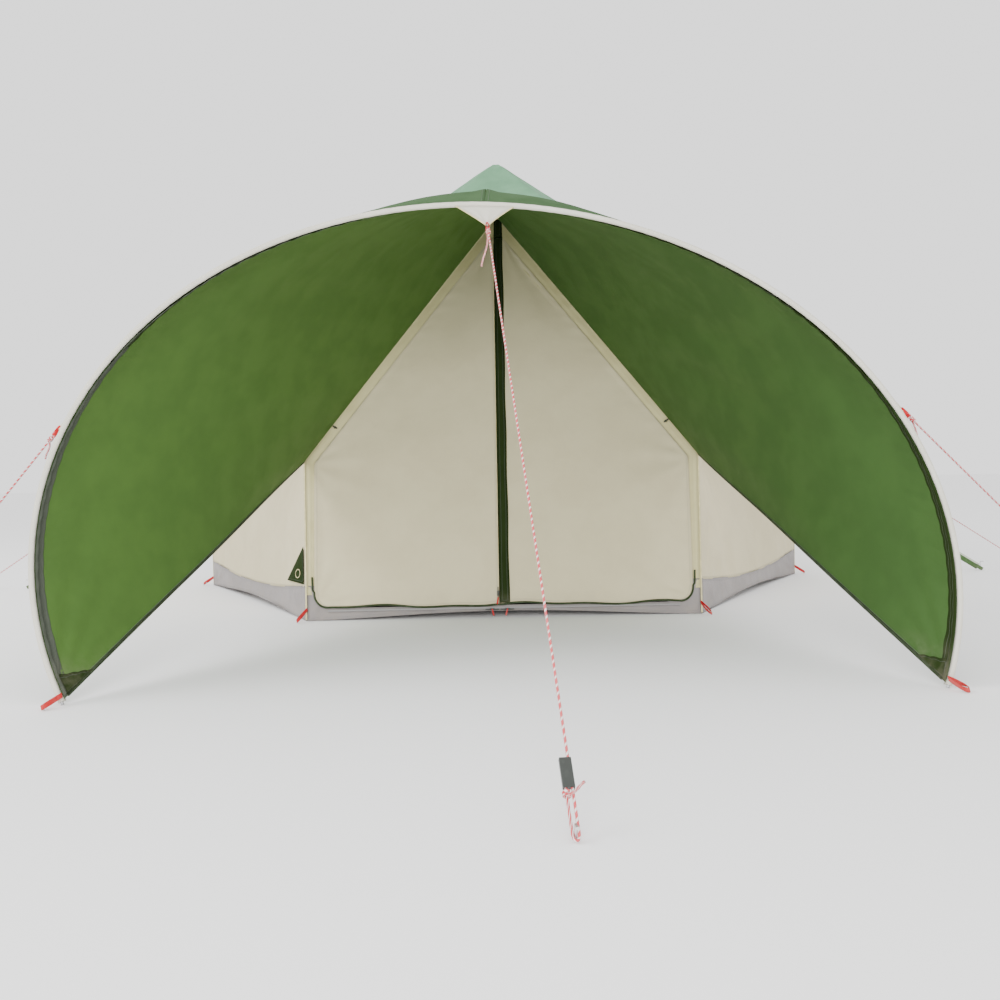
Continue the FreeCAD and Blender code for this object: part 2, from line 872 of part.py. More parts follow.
def make_guy_patches():
    patches = []
    for name in ARCH_ROPES:
        angle = guy_angle(name)
        centre = arch_point(angle)
        tip = patch_tip(name)
        pull = (tip - centre).normalize()
        along = arch_tangent(angle)
        half = size("patch_base" if name == "front" else "side_patch_base") / 2
        normal = pull.cross(along).normalize()
        across = along.cross(normal).normalize()
        if across.dot(pull) < 0:
            across = -across
        # the base is a straight chord, so it stands off by the bow of the arch
        bow = half ** 2 / 2 / size("arch_rise")
        base = centre + across * (size("sleeve_radius") + 2 + bow)
        points = [base - along * half, base + along * half, tip]
        shift = normal * (-size("fabric") / 2)
        patches.append(prism([point + shift for point in points], normal, size("fabric")))
    add_shape("guy_patches", Part.makeCompound(patches))


LOOP_BAR = 2


def rope_start(name):
    """Where a rope is tied: through its webbing ring."""
    if name in ARCH_ROPES:
        centre = arch_point(guy_angle(name))
        tip = patch_tip(name)
    else:
        side = -1 if name == "ridge_left" else 1
        rim = rim_corner(3 if side < 0 else 0)
        eave = eave_corner(3 if side < 0 else 0)
        share = (size("ridge_rope_radius") - abs(rim.x)) / (abs(eave.x) - abs(rim.x))
        centre = mix(rim, eave, share)
        tip = centre + (peg_point(name) - centre).normalize() * size("ridge_ring_gap")
    pull = (peg_point(name) - centre).normalize()
    return tip, pull


def make_guy_rings():
    """Webbing rings at the ends of the guy patches and on the side ridges."""
    rings = []
    radius = size("loop_width") / 2
    for name in ROPES:
        tip, pull = rope_start(name)
        side = pull.cross(UP).normalize()
        centre = tip + pull * (radius + LOOP_BAR + 1)
        rings.append(Part.makeTorus(radius, LOOP_BAR, centre, side))
    add_shape("guy_rings", Part.makeCompound(rings))


# ---------------------------------------------------------------- ropes and runners

def rope_line(name):
    """Start of a rope at its ring, its end beside the peg, and the sideways direction."""
    tip, pull = rope_start(name)
    start = tip + pull * (size("loop_width") + LOOP_BAR * 3 + 2)
    peg = peg_point(name)
    level = Vector(pull.x, pull.y, 0).normalize()
    sideways = level.cross(UP)
    past = size("rope_turn") + size("peg_radius")
    end = peg + level * past - sideways * size("rope_turn")
    end += UP * (size("rope_radius") + 3)
    return start, end, sideways


def rounded_route(points):
    """Straight runs joined by tangent arcs as large as the runs allow."""
    share = 0.45
    edges = []
    last = points[0]
    for before, point, after in zip(points, points[1:], points[2:]):
        turn = (point - before).getAngle(after - point)
        reach = share * min((point - before).Length, (after - point).Length)
        radius = reach / math.tan(turn / 2)
        start, middle, end = round_corner(before, point, after, radius)
        print(f"turn {math.degrees(turn):.0f} degrees, radius {radius:.1f}")
        edges.append(Part.LineSegment(last, start).toShape())
        edges.append(Part.Arc(start, middle, end).toShape())
        last = end
    edges.append(Part.LineSegment(last, points[-1]).toShape())
    return Part.Wire(edges)


def make_ropes():
    """Each rope runs taut to its peg, round it, and back up to its runner."""
    for name in ROPES:
        start, end, sideways = rope_line(name)
        pull = (end - start).normalize()
        other = end + sideways * 2 * size("rope_turn")
        back = other - pull * (size("runner_gap") + size("rope_turn") * 2)
        wire = rounded_route([start, end, other, back])
        rope = pipe(wire, size("rope_radius"))
        section = math.pi * size("rope_radius") ** 2
        print(f"{name} rope: length {wire.Length:.0f}, volume share "
              f"{rope.Volume / (section * wire.Length):.4f}")
        add_shape(f"{name}_rope", rope)


def make_runner(name):
    """Rope runner: a bar with one hole along the taut strand and one for the knot."""
    start, end, sideways = rope_line(name)
    pull = (end - start).normalize()
    body = new_body(f"{name}_runner")
    bar = new_sketch(body, f"{name}_runner_bar", "XY_Plane")
    add_rectangle(bar, "Sizes.runner_width", "Sizes.runner_thickness")
    add_circle(bar, "Sizes.runner_hole", "-Sizes.rope_turn")
    add_pad(body, bar, "Sizes.runner_length")
    document.recompute()
    knot = new_sketch(body, f"{name}_runner_knot", "XY_Plane")
    add_circle(knot, "Sizes.runner_hole", "Sizes.rope_turn")
    add_pocket(body, knot, "Sizes.runner_length / 3")
    low = end - pull * (size("runner_gap") + size("rope_turn"))
    place = frame_at(low + sideways * size("rope_turn"), -pull, sideways)
    body.Placement = place


def make_pole_part(name, outer, inner, length, base):
    """One tube of the centre pole; all four are expressions of the sheet."""
    body = new_body(name)
    section = new_sketch(body, name + "_section", "XY_Plane")
    add_circle(section, outer)
    add_circle(section, inner)
    add_pad(body, section, length)
    body.setExpression(".Placement.Base.z", base)


def make_pole():
    """Three tubes, each entering the one below, from the foot to the cap."""
    bottom = "Sizes.floor_thickness + Sizes.fit_gap + Sizes.foot_floor"
    lower = "Sizes.pole_lower_radius"
    thinner = "Sizes.pole_step"
    wall = "Sizes.pole_wall"
    top = ("Sizes.peak_height - (Sizes.peak_height - Sizes.peak_rim_height) / "
           "Sizes.peak_rim_radius * Sizes.cap_radius - Sizes.fabric * 2 - Sizes.cap_height")
    middle_base = f"{bottom} + Sizes.pole_lower_length - Sizes.pole_joint"
    upper_base = f"{middle_base} + Sizes.pole_middle_length - Sizes.pole_joint"
    make_pole_part("pole_lower", lower, f"{lower} - {wall}", "Sizes.pole_lower_length", bottom)
    make_pole_part("pole_middle", f"{lower} - {thinner}", f"{lower} - {thinner} - {wall}",
                   "Sizes.pole_middle_length", middle_base)
    make_pole_part("pole_upper", f"{lower} - 2 * {thinner}", f"{lower} - 2 * {thinner} - {wall}",
                   f"{top} - ({upper_base})", upper_base)


def make_pole_foot():
    """Plastic cup on the groundsheet that holds the pole's lower end."""
    body = new_body("pole_foot")
    cup = new_sketch(body, "pole_foot_cup", "XY_Plane")
    add_circle(cup, "Sizes.foot_radius")
    add_pad(body, cup, "Sizes.foot_height")
    document.recompute()
    socket = new_sketch(body, "pole_foot_socket", "XY_Plane")
    add_circle(socket, "Sizes.pole_lower_radius + Sizes.fit_gap")
    socket.setExpression(".AttachmentOffset.Base.z", "Sizes.foot_floor")
    add_pocket(body, socket, "Sizes.foot_height")
    body.setExpression(".Placement.Base.z", "Sizes.floor_thickness + Sizes.fit_gap / 2")


def make_pole_cap():
    """Rounded plastic cap under the peak panel; its stem sits in the top tube."""
    top_height = size("peak_height") - size("fabric") * 2
    rise = size("peak_height") - size("peak_rim_height")
    top_height -= rise / size("peak_rim_radius") * size("cap_radius")
    body = new_body("pole_cap")
    disc = new_sketch(body, "pole_cap_disc", "XY_Plane")
    add_circle(disc, "Sizes.cap_radius - Sizes.cap_height / 2")
    add_pad(body, disc, "Sizes.cap_height - Sizes.fit_gap * 2")
    document.recompute()
    stem = new_sketch(body, "pole_cap_stem", "XY_Plane")
    add_circle(stem, "Sizes.pole_lower_radius - 2 * Sizes.pole_step - Sizes.pole_wall"
                     " - Sizes.fit_gap")
    pad = add_pad(body, stem, "Sizes.pole_joint / 3")
    pad.Reversed = True
    body.Placement = Placement(Vector(0, 0, top_height - size("cap_height") + size("fit_gap")),
                               Rotation())


# ---------------------------------------------------------------- ground fixings

def strap_ends(index):
    """Eave end and ground end of the storm strap of one corner."""
    eave = eave_corner(index)
    level = Vector(eave.x, eave.y, 0).normalize()
    ground = level * size("strap_peg_radius") + UP * size("strap_width") * 0.6
    return eave + level * 8, ground


def make_straps():
    """Flat straps from the side and rear eave corners to the ground."""
    groups = {"storm_straps_left": (2, 3), "storm_straps_right": (0, 1)}
    for name, corners in groups.items():
        straps = []
        for index in corners:
            top, ground = strap_ends(index)
            pull = (ground - top).normalize()
            sideways = pull.cross(UP).normalize()
            down = pull.cross(sideways)
            half = down * (size("strap_width") / 2)
            start = top + pull * size("strap_width") / 2
            points = [start - half, start + half, ground + half, ground - half]
            points = [point - sideways * (size("fabric") / 2) for point in points]
            straps.append(prism(points, sideways, size("fabric")))
        add_shape(name, Part.makeCompound(straps))


def make_buckles():
    """Ladder buckle round each storm strap, near its peg."""
    buckles = []
    wide = size("strap_width") + 12
    for index in range(4):
        top, ground = strap_ends(index)
        pull = (ground - top).normalize()
        point = ground - pull * size("buckle_gap")
        thick = size("fabric") + 6
        outer = Part.makeBox(thick, wide, 26, Vector(-thick / 2, -wide / 2, 0))
        slot_thick = size("fabric") + 1
        slot_wide = size("strap_width") + 2
        slot = Part.makeBox(slot_thick, slot_wide, 30, Vector(-slot_thick / 2, -slot_wide / 2, -2))
        buckle = outer.cut(slot)
        buckle.Placement = frame_at(point, pull, pull.cross(UP))
        buckles.append(buckle)
    add_shape("strap_buckles", Part.makeCompound(buckles))


def ground_anchors():
    """Places and outward directions of the webbing loops that lie on the ground."""
    anchors = []
    for index in range(6):
        start = corner(index, size("corner_radius") + 6, 0)
        anchors.append((start, corner(index, 1, 0)))
    for side in (-1, 1):
        foot = arch_point(side * foot_angle(0))
        out = Vector(side * 0.45, -0.9, 0).normalize()
        anchors.append((Vector(foot.x, foot.y, 0) + out * 14, out))
    return anchors


def make_ground_loops():
    """Webbing loops for the pegs: six at the base corners, one at each arch foot."""
    loops = []
    length = size("loop_length")
    width = size("loop_width")
    band = size("loop_band")
    for start, out in ground_anchors():
        plate = Part.makeBox(length, width, 3, Vector(0, -width / 2, 0))
        slot = Part.makeBox(length - 2 * band - 12, width - 2 * band, 9,
                            Vector(12 + band, -width / 2 + band, -3))
        loop = plate.cut(slot)
        angle = math.degrees(math.atan2(out.y, out.x))
        loop.Placement = Placement(start, Rotation(UP, angle))
        loops.append(loop)
    add_shape("ground_loops", Part.makeCompound(loops))


def make_peg(point, out, name_height):
    """Visible top of a steel peg: a short stem with a hook that points away."""
    radius = size("peg_radius")
    stem = Part.makeCylinder(radius, name_height, point)
    ball = Part.makeSphere(radius, point + UP * name_height)
    hook = Part.makeCylinder(radius, size("peg_hook"), point + UP * name_height, out)
    return stem.fuse([ball, hook])


def make_pegs():
    pegs = []
    height = size("peg_height")
    for start, out in ground_anchors():
        place = start + out * (size("loop_length") - size("loop_band") - size("peg_radius") - 1)
        pegs.append(make_peg(place, -out, height / 2))
    for name in ROPES:
        _, end, _ = rope_line(name)
        start, _ = rope_start(name)
        out = (peg_point(name) - start)
        level = Vector(out.x, out.y, 0).normalize()
        pegs.append(make_peg(peg_point(name), level, height))
    for index in range(4):
        _, ground = strap_ends(index)
        level = Vector(ground.x, ground.y, 0).normalize()
        place = Vector(ground.x, ground.y, 0) + level * (size("peg_radius") + 12)
        pegs.append(make_peg(place, level, size("strap_width") * 1.4))
    add_shape("ground_pegs", Part.makeCompound(pegs))


# ---------------------------------------------------------------- build and write

make_groundsheet()
make_bathtub()
make_walls()
make_roof()
make_peak_panel()
make_door_header()
make_front_gable()
make_door(-1, "door_left")
make_door(1, "door_right")
make_door_piping(-1, "door_piping_left")
make_door_piping(1, "door_piping_right")
make_zips()
make_sill()
make_sliders()
make_cable_flap()
make_toggles()
make_sleeve()
make_rod()
make_hood()
make_foot_patches()
make_guy_patches()
make_guy_rings()
make_ropes()
for rope_name in ROPES:
    make_runner(rope_name)
make_pole()
make_pole_foot()
make_pole_cap()
make_straps()
make_buckles()
make_ground_loops()
make_pegs()

document.recompute()

for item in document.Objects:
    if "Invalid" in item.State or "Error" in item.State:
        raise RuntimeError(f"{item.Name} did not build: {item.State}")
for node in nodes:
    if node.Shape.isNull() or not node.Shape.isValid():
        raise RuntimeError(f"{node.Label} has no valid shape")

os.makedirs("parts", exist_ok=True)
for node in nodes:
    node.Shape.exportStep(f"parts/{node.Label}.step")
print(f"{len(nodes)} nodes written")
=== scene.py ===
import bmesh
import bpy
import math
import numpy as np
from mathutils import Matrix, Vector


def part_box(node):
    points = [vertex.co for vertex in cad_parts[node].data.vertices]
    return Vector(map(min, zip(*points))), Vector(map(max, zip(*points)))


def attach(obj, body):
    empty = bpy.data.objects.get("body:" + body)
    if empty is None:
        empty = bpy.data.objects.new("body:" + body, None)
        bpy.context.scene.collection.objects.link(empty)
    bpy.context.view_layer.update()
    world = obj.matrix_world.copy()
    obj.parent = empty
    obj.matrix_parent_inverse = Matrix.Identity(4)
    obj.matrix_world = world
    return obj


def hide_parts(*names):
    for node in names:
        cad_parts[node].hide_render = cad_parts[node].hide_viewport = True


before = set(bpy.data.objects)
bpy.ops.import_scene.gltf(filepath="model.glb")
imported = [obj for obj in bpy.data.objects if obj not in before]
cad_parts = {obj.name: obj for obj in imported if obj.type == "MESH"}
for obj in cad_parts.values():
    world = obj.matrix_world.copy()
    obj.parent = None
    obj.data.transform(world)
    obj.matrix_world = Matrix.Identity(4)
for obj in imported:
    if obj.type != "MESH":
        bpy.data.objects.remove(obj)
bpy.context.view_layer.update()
scene = bpy.context.scene
pi = math.pi
print("frame loaded,", len(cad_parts), "nodes")

# camera at standing distance, a little above knee height
cameraView = {"place": (0.009, -5.67, 0.632), "yaw": 0.004, "pitch": -0.027,
              "roll": -0.02, "lens": 33.98, "sensor": 36.0}


def makeCamera(view):
    # right and forward turn about the vertical, then tilt, then roll
    right = np.array([math.cos(view["yaw"]), math.sin(view["yaw"]), 0.0])
    level = np.array([-right[1], right[0], 0.0])
    top = np.array([0.0, 0.0, 1.0])
    forward = math.cos(view["pitch"]) * level + math.sin(view["pitch"]) * top
    up = -math.sin(view["pitch"]) * level + math.cos(view["pitch"]) * top
    side = math.cos(view["roll"]) * right + math.sin(view["roll"]) * up
    lift = -math.sin(view["roll"]) * right + math.cos(view["roll"]) * up
    data = bpy.data.cameras.new("viewCamera")
    data.lens = view["lens"]
    data.sensor_width = view["sensor"]
    data.clip_end = 200
    camera = bpy.data.objects.new("viewCamera", data)
    scene.collection.objects.link(camera)
    turn = np.stack([side, lift, -forward, np.array(view["place"])], axis=1)
    camera.matrix_world = Matrix(turn.tolist() + [[0, 0, 0, 1]])
    scene.camera = camera


makeCamera(cameraView)

# measures of the tent that the soft pieces follow, in metres
tent = {"cornerRadius": 1.75, "wallHeight": 0.718, "peakHeight": 2.488, "rimRadius": 0.60,
        "rimHeight": 2.092, "eaveHalf": 0.938, "headHeight": 1.945, "doorEave": 0.893,
        "seamHeight": 2.025}
arch = {"footY": -3.003, "lean": math.radians(16.7), "halfSpan": 1.367, "rise": 1.139,
        "centre": 0.448, "skew": 0.0685, "crownShift": 0.073, "sleeveEnd": 0.010,
        "crown": 0.075}


def unit(vector):
    vector = np.asarray(vector, float)
    return vector / np.linalg.norm(vector, axis=-1, keepdims=True)


def lerp(start, end, share):
    share = np.asarray(share, float)[..., None]
    return np.asarray(start) * (1 - share) + np.asarray(end) * share


def smoothStep(value):
    value = np.clip(value, 0, 1)
    return value * value * (3 - 2 * value)


def hexCorner(index, radius, height):
    angle = math.radians(60 * index)
    return np.array([radius * math.cos(angle), radius * math.sin(angle), height])


frontFoot = np.array([0, hexCorner(4, tent["cornerRadius"], 0)[1], 0])
frontHead = np.array([0, hexCorner(4, tent["rimRadius"], 0)[1], tent["rimHeight"]])
frontUp = unit(frontHead - frontFoot)
frontOut = np.cross([1, 0, 0], frontUp)
sideCorners = {"rear_right": (0, 1), "rear": (1, 2), "rear_left": (2, 3),
               "front_left": (3, 4), "front_right": (5, 0)}


def frontPoint(x, height, out=0.0):
    # a point of the leaning front face at this x and height, moved out of the face
    x, height, out = np.broadcast_arrays(np.asarray(x, float), height, out)
    point = frontFoot + x[..., None] * np.array([1.0, 0, 0])
    return point + (height / frontUp[2])[..., None] * frontUp + out[..., None] * frontOut


def baseCorner(index):
    return hexCorner(index, tent["cornerRadius"], 0)


def rimCorner(index):
    return hexCorner(index, tent["rimRadius"], tent["rimHeight"])


def eaveCorner(index):
    if index in (4, 5):
        return frontPoint(tent["eaveHalf"] * (-1 if index == 4 else 1), tent["wallHeight"])
    return hexCorner(index, tent["cornerRadius"], tent["wallHeight"])


def archPoint(angle):
    # an ellipse in a plane that leans back and drifts sideways with height
    height = arch["centre"] + arch["rise"] * np.cos(angle)
    x = arch["halfSpan"] * np.sin(angle) - arch["skew"] * height
    y = arch["footY"] + height * math.sin(arch["lean"])
    return np.stack([x, y, height * math.cos(arch["lean"])], axis=-1)


archLimit = math.acos((arch["sleeveEnd"] - arch["centre"]) / arch["rise"])
crownAngle = arch["crownShift"] / arch["halfSpan"]


def waves(x, y, seed, length, count=7):
    # mean of sine waves in scattered directions, from about -1 to 1
    draw = np.random.default_rng(seed)
    angle = draw.uniform(0, 2 * pi, count)
    phase = draw.uniform(0, 2 * pi, count)
    pace = 2 * pi / length * draw.uniform(0.6, 1.5, count)
    total = 0
    for a, p, k in zip(angle, phase, pace):
        total = total + np.sin(k * (x * math.cos(a) + y * math.sin(a)) + p)
    return total / count * 1.7


def fan(x, y, place, count, reach, phase=0.0):
    # folds that spread from a point and fade with distance from it
    dx, dy = x - place[0], y - place[1]
    distance = np.hypot(dx, dy)
    fade = np.exp(-distance / reach) * smoothStep(distance / (reach * 0.3))
    return np.sin(np.arctan2(dy, dx) * count + phase) * fade


# node tools

def wire(tree, socket, value):
    if isinstance(value, bpy.types.NodeSocket):
        tree.links.new(value, socket)
    else:
        socket.default_value = value


def calc(tree, kind, first, second=0.0, third=0.0):
    node = tree.nodes.new("ShaderNodeMath")
    node.operation = kind
    for socket, value in zip(node.inputs, (first, second, third)):
        wire(tree, socket, value)
    return node.outputs[0]


def ramp(tree, value, low, high):
    # 0 below low and 1 above high, smooth between
    node = tree.nodes.new("ShaderNodeMapRange")
    node.interpolation_type = "SMOOTHSTEP"
    for name, amount in (("Value", value), ("From Min", low), ("From Max", high)):
        wire(tree, node.inputs[name], amount)
    return node.outputs["Result"]


def noise(tree, vector, scale, detail=3.0, roughness=0.55):
    node = tree.nodes.new("ShaderNodeTexNoise")
    wire(tree, node.inputs["Vector"], vector)
    wire(tree, node.inputs["Scale"], scale)
    node.inputs["Detail"].default_value = detail
    node.inputs["Roughness"].default_value = roughness
    return node.outputs["Fac"]


def mixColor(tree, share, first, second):
    node = tree.nodes.new("ShaderNodeMix")
    node.data_type = "RGBA"
    colorInputs = [item for item in node.inputs if item.type == "RGBA"]
    wire(tree, node.inputs["Factor"], share)
    for socket, value in zip(colorInputs, (first, second)):
        wire(tree, socket, value if isinstance(value, bpy.types.NodeSocket) else (*value, 1))
    return next(item for item in node.outputs if item.type == "RGBA")


def newGroup(name, inputs, outputs):
    tree = bpy.data.node_groups.new(name, "ShaderNodeTree")
    for label, kind, value in inputs:
        socket = tree.interface.new_socket(label, in_out="INPUT", socket_type=kind)
        if value is not None:
            socket.default_value = value
    for label, kind in outputs:
        tree.interface.new_socket(label, in_out="OUTPUT", socket_type=kind)
    return tree, tree.nodes.new("NodeGroupInput").outputs, tree.nodes.new("NodeGroupOutput").inputs


def useGroup(tree, group, **values):
    node = tree.nodes.new("ShaderNodeGroup")
    node.node_tree = group
    for name, value in values.items():
        wire(tree, node.inputs[name], value)
    return node.outputs


def makeWeaveGroup():
    # plain weave: two crossed rows of threads, with uneven thread thickness
    tree, given, out = newGroup("plainWeave", [("Vector", "NodeSocketVector", None),
                                               ("Pitch", "NodeSocketFloat", 900.0),
                                               ("Unevenness", "NodeSocketFloat", 0.3)],
                                [("Height", "NodeSocketFloat"), ("Tone", "NodeSocketFloat")])
    split = tree.nodes.new("ShaderNodeSeparateXYZ")
    wire(tree, split.inputs[0], given["Vector"])
    uneven = noise(tree, given["Vector"], 60.0, 2.0)
    rows = []
    for axis in (0, 1):
        turn = calc(tree, "MULTIPLY", split.outputs[axis], given["Pitch"])
        turn = calc(tree, "ADD", turn, calc(tree, "MULTIPLY", uneven, given["Unevenness"]))
        rows.append(calc(tree, "SINE", calc(tree, "MULTIPLY", turn, 2 * pi)))
    height = calc(tree, "MULTIPLY", rows[0], rows[1])
    wire(tree, out["Height"], calc(tree, "MULTIPLY_ADD", height, 0.5, 0.5))
    slub = noise(tree, given["Vector"], 25.0, 4.0, 0.7)
    wire(tree, out["Tone"], ramp(tree, slub, 0.25, 0.75))
    return tree


def makeCreaseGroup():
    # soft broad creases and sharper small ones, both warped
    tree, given, out = newGroup("clothCreases", [("Vector", "NodeSocketVector", None),
                                                 ("Size", "NodeSocketFloat", 6.0)],
                                [("Height", "NodeSocketFloat"), ("Tone", "NodeSocketFloat")])
    broad = noise(tree, given["Vector"], given["Size"], 2.0)
    fine = noise(tree, given["Vector"], calc(tree, "MULTIPLY", given["Size"], 5.0), 3.0)
    fold = calc(tree, "ABSOLUTE", calc(tree, "SUBTRACT", broad, 0.5))
    fold = calc(tree, "SUBTRACT", 1.0, calc(tree, "MULTIPLY", fold, 5.0))
    fold = calc(tree, "MAXIMUM", fold, 0.0)
    height = calc(tree, "MULTIPLY_ADD", fine, 0.25, calc(tree, "MULTIPLY", fold, 0.6))
    wire(tree, out["Height"], height)
    wire(tree, out["Tone"], ramp(tree, broad, 0.35, 0.65))
    return tree


def makeDustGroup():
    # dust is thickest near the ground and breaks up in patches
    tree, given, out = newGroup("groundDust", [("Vector", "NodeSocketVector", None),
                                               ("Top", "NodeSocketFloat", 0.15)],
                                [("Mask", "NodeSocketFloat")])
    split = tree.nodes.new("ShaderNodeSeparateXYZ")
    wire(tree, split.inputs[0], given["Vector"])
    low = calc(tree, "SUBTRACT", 1.0, ramp(tree, split.outputs[2], 0.0, given["Top"]))
    patches = ramp(tree, noise(tree, given["Vector"], 14.0, 5.0, 0.65), 0.35, 0.7)
    wire(tree, out["Mask"], calc(tree, "MULTIPLY", low, patches))
    return tree


def makeHemGroup():
    # a folded hem along an edge: a raised band with a row of stitches near its inner side
    tree, given, out = newGroup("sewnHem", [("Edge", "NodeSocketFloat", 1.0),
                                            ("Along", "NodeSocketFloat", 0.0),
                                            ("Width", "NodeSocketFloat", 0.014)],
                                [("Band", "NodeSocketFloat"), ("Stitch", "NodeSocketFloat"),
                                 ("Height", "NodeSocketFloat")])
    inside = calc(tree, "SUBTRACT", given["Edge"], given["Width"])
    band = calc(tree, "SUBTRACT", 1.0, ramp(tree, inside, -0.001, 0.001))
    off = calc(tree, "ABSOLUTE", calc(tree, "ADD", inside, 0.003))
    line = calc(tree, "SUBTRACT", 1.0, ramp(tree, off, 0.0004, 0.0012))
    beat = calc(tree, "FRACT", calc(tree, "MULTIPLY", given["Along"], 260.0))
    dash = ramp(tree, calc(tree, "ABSOLUTE", calc(tree, "SUBTRACT", beat, 0.5)), 0.42, 0.34)
    stitch = calc(tree, "MULTIPLY", line, dash)
    wire(tree, out["Band"], band)
    wire(tree, out["Stitch"], stitch)
    wire(tree, out["Height"], calc(tree, "ADD", band, calc(tree, "MULTIPLY", line, -0.4)))
    return tree


weaveGroup = makeWeaveGroup()
creaseGroup = makeCreaseGroup()
dustGroup = makeDustGroup()
hemGroup = makeHemGroup()


def startMaterial(name):
    material = bpy.data.materials.new(name)
    material.use_nodes = True
    tree = material.node_tree
    shader = next(item for item in tree.nodes if item.type == "BSDF_PRINCIPLED")
    return material, tree, shader


def bumpFrom(tree, shader, height, distance, strength=1.0, under=None):
    node = tree.nodes.new("ShaderNodeBump")
    node.inputs["Strength"].default_value = strength
    node.inputs["Distance"].default_value = distance
    wire(tree, node.inputs["Height"], height)
    if under is not None:
        wire(tree, node.inputs["Normal"], under)
    wire(tree, shader.inputs["Normal"], node.outputs["Normal"])
    return node.outputs["Normal"]


# cloth looks: color and shade are the two tones that the cloth drifts between; some looks also
# carry painted light, noted at each
clothLooks = {
    # inner face of the hood: partly the cloth's own green, partly painted light. Its saturated
    # tones and its glow stand in for daylight shining through the cloth, and the left copy is
    # lighter than the right as painted light from the left
    "hoodInsidePaintedLightLeft": {"color": (0.052, 0.109, 0.0210), "shade": (0.044, 0.094, 0.0180),
                       "rough": 0.66, "sheen": 0.0, "pitch": 900, "crease": 0.0005,
                       "glow": 0.35},
    "hoodInsidePaintedLightRight": {"color": (0.033, 0.076, 0.0160), "shade": (0.028, 0.065, 0.0135),
                        "rough": 0.66, "sheen": 0.0, "pitch": 900, "crease": 0.0005,
                        "glow": 0.45},
    # outer face of the green cloth: its tone is greyer than the inside, which is painted sheen over
    # the cloth's own green
    "greenOutside": {"color": (0.060, 0.115, 0.050), "shade": (0.049, 0.096, 0.040),
                     "rough": 0.8, "sheen": 0.0, "pitch": 900, "crease": 0.0010,
                     "specular": 0.04},
    # peak panel: the same green cloth in a paler teal; the paleness is a painted reflection of the
    # sky over the cloth's own green
    "peakGreenPaintedReflection": {"color": (0.132, 0.310, 0.172), "shade": (0.106, 0.254, 0.140),
                  "rough": 0.58, "sheen": 0.0, "pitch": 900, "crease": 0.001},
    "creamCloth": {"color": (0.62, 0.555, 0.365), "shade": (0.58, 0.515, 0.335),
                   "rough": 0.8, "sheen": 0.1, "pitch": 800, "crease": 0.0010},
    "creamSurround": {"color": (0.62, 0.565, 0.31), "shade": (0.56, 0.505, 0.265),
                      "rough": 0.8, "sheen": 0.1, "pitch": 800, "crease": 0.0010},
    "tubGrey": {"color": (0.28, 0.255, 0.25), "shade": (0.24, 0.22, 0.215),
                "rough": 0.5, "sheen": 0.1, "pitch": 500, "crease": 0.0022},
    "darkGreen": {"color": (0.020, 0.033, 0.009), "shade": (0.016, 0.027, 0.007),
                  "rough": 0.85, "sheen": 0.0, "pitch": 700, "crease": 0.0008,
                  "specular": 0.04},
    "paleSleeve": {"color": (0.60, 0.58, 0.50), "shade": (0.54, 0.52, 0.44),
                   "rough": 0.7, "sheen": 0.1, "pitch": 600, "crease": 0.0012},
}


def makeCloth(name, look):
    material, tree, shader = startMaterial(name)
    spot = tree.nodes.new("ShaderNodeTexCoord")
    edge = tree.nodes.new("ShaderNodeAttribute")
    edge.attribute_name = "edge"
    along = tree.nodes.new("ShaderNodeAttribute")
    along.attribute_name = "along"
    weave = useGroup(tree, weaveGroup, Vector=spot.outputs["UV"], Pitch=float(look["pitch"]))
    creases = useGroup(tree, creaseGroup, Vector=spot.outputs["Object"])
    dust = useGroup(tree, dustGroup, Vector=spot.outputs["Object"])
    hem = useGroup(tree, hemGroup, Edge=edge.outputs["Fac"], Along=along.outputs["Fac"])
    tone = calc(tree, "MULTIPLY_ADD", weave["Tone"], 0.35,
                calc(tree, "MULTIPLY", creases["Tone"], 0.65))
    color = mixColor(tree, tone, look["shade"], look["color"])
    darker = tuple(0.86 * part for part in look["shade"])
    color = mixColor(tree, calc(tree, "MULTIPLY", hem["Band"], 0.55), color, darker)
    thread = tuple(0.6 * part + 0.1 for part in look["color"])
    color = mixColor(tree, calc(tree, "MULTIPLY", hem["Stitch"], 0.7), color, thread)
    dusty = calc(tree, "MULTIPLY", dust["Mask"], 0.25)
    color = mixColor(tree, dusty, color, (0.36, 0.31, 0.24))
    wire(tree, shader.inputs["Base Color"], color)
    rough = calc(tree, "MULTIPLY_ADD", creases["Tone"], -0.08, look["rough"] + 0.04)
    wire(tree, shader.inputs["Roughness"], calc(tree, "ADD", rough,
                                               calc(tree, "MULTIPLY", dusty, 0.6)))
    # the cloth's colour glows by the look's glow amount: painted light that stands in for daylight
    # through the thin cloth; only the hood's inner looks set it
    wire(tree, shader.inputs["Emission Color"], color)
    shader.inputs["Emission Strength"].default_value = look.get("glow", 0.0)
    shader.inputs["Sheen Weight"].default_value = look["sheen"]
    shader.inputs["Sheen Roughness"].default_value = 0.4
    shader.inputs["Specular IOR Level"].default_value = look.get("specular", 0.2)
    soft = bumpFrom(tree, shader, creases["Height"], look["crease"], 0.8)
    mid = bumpFrom(tree, shader, hem["Height"], 0.0008, 0.8, soft)
    bumpFrom(tree, shader, weave["Height"], 0.00018, 0.5, mid)
    return material


cloth = {name: makeCloth(name, look) for name, look in clothLooks.items()}
clothDepth = 0.0012


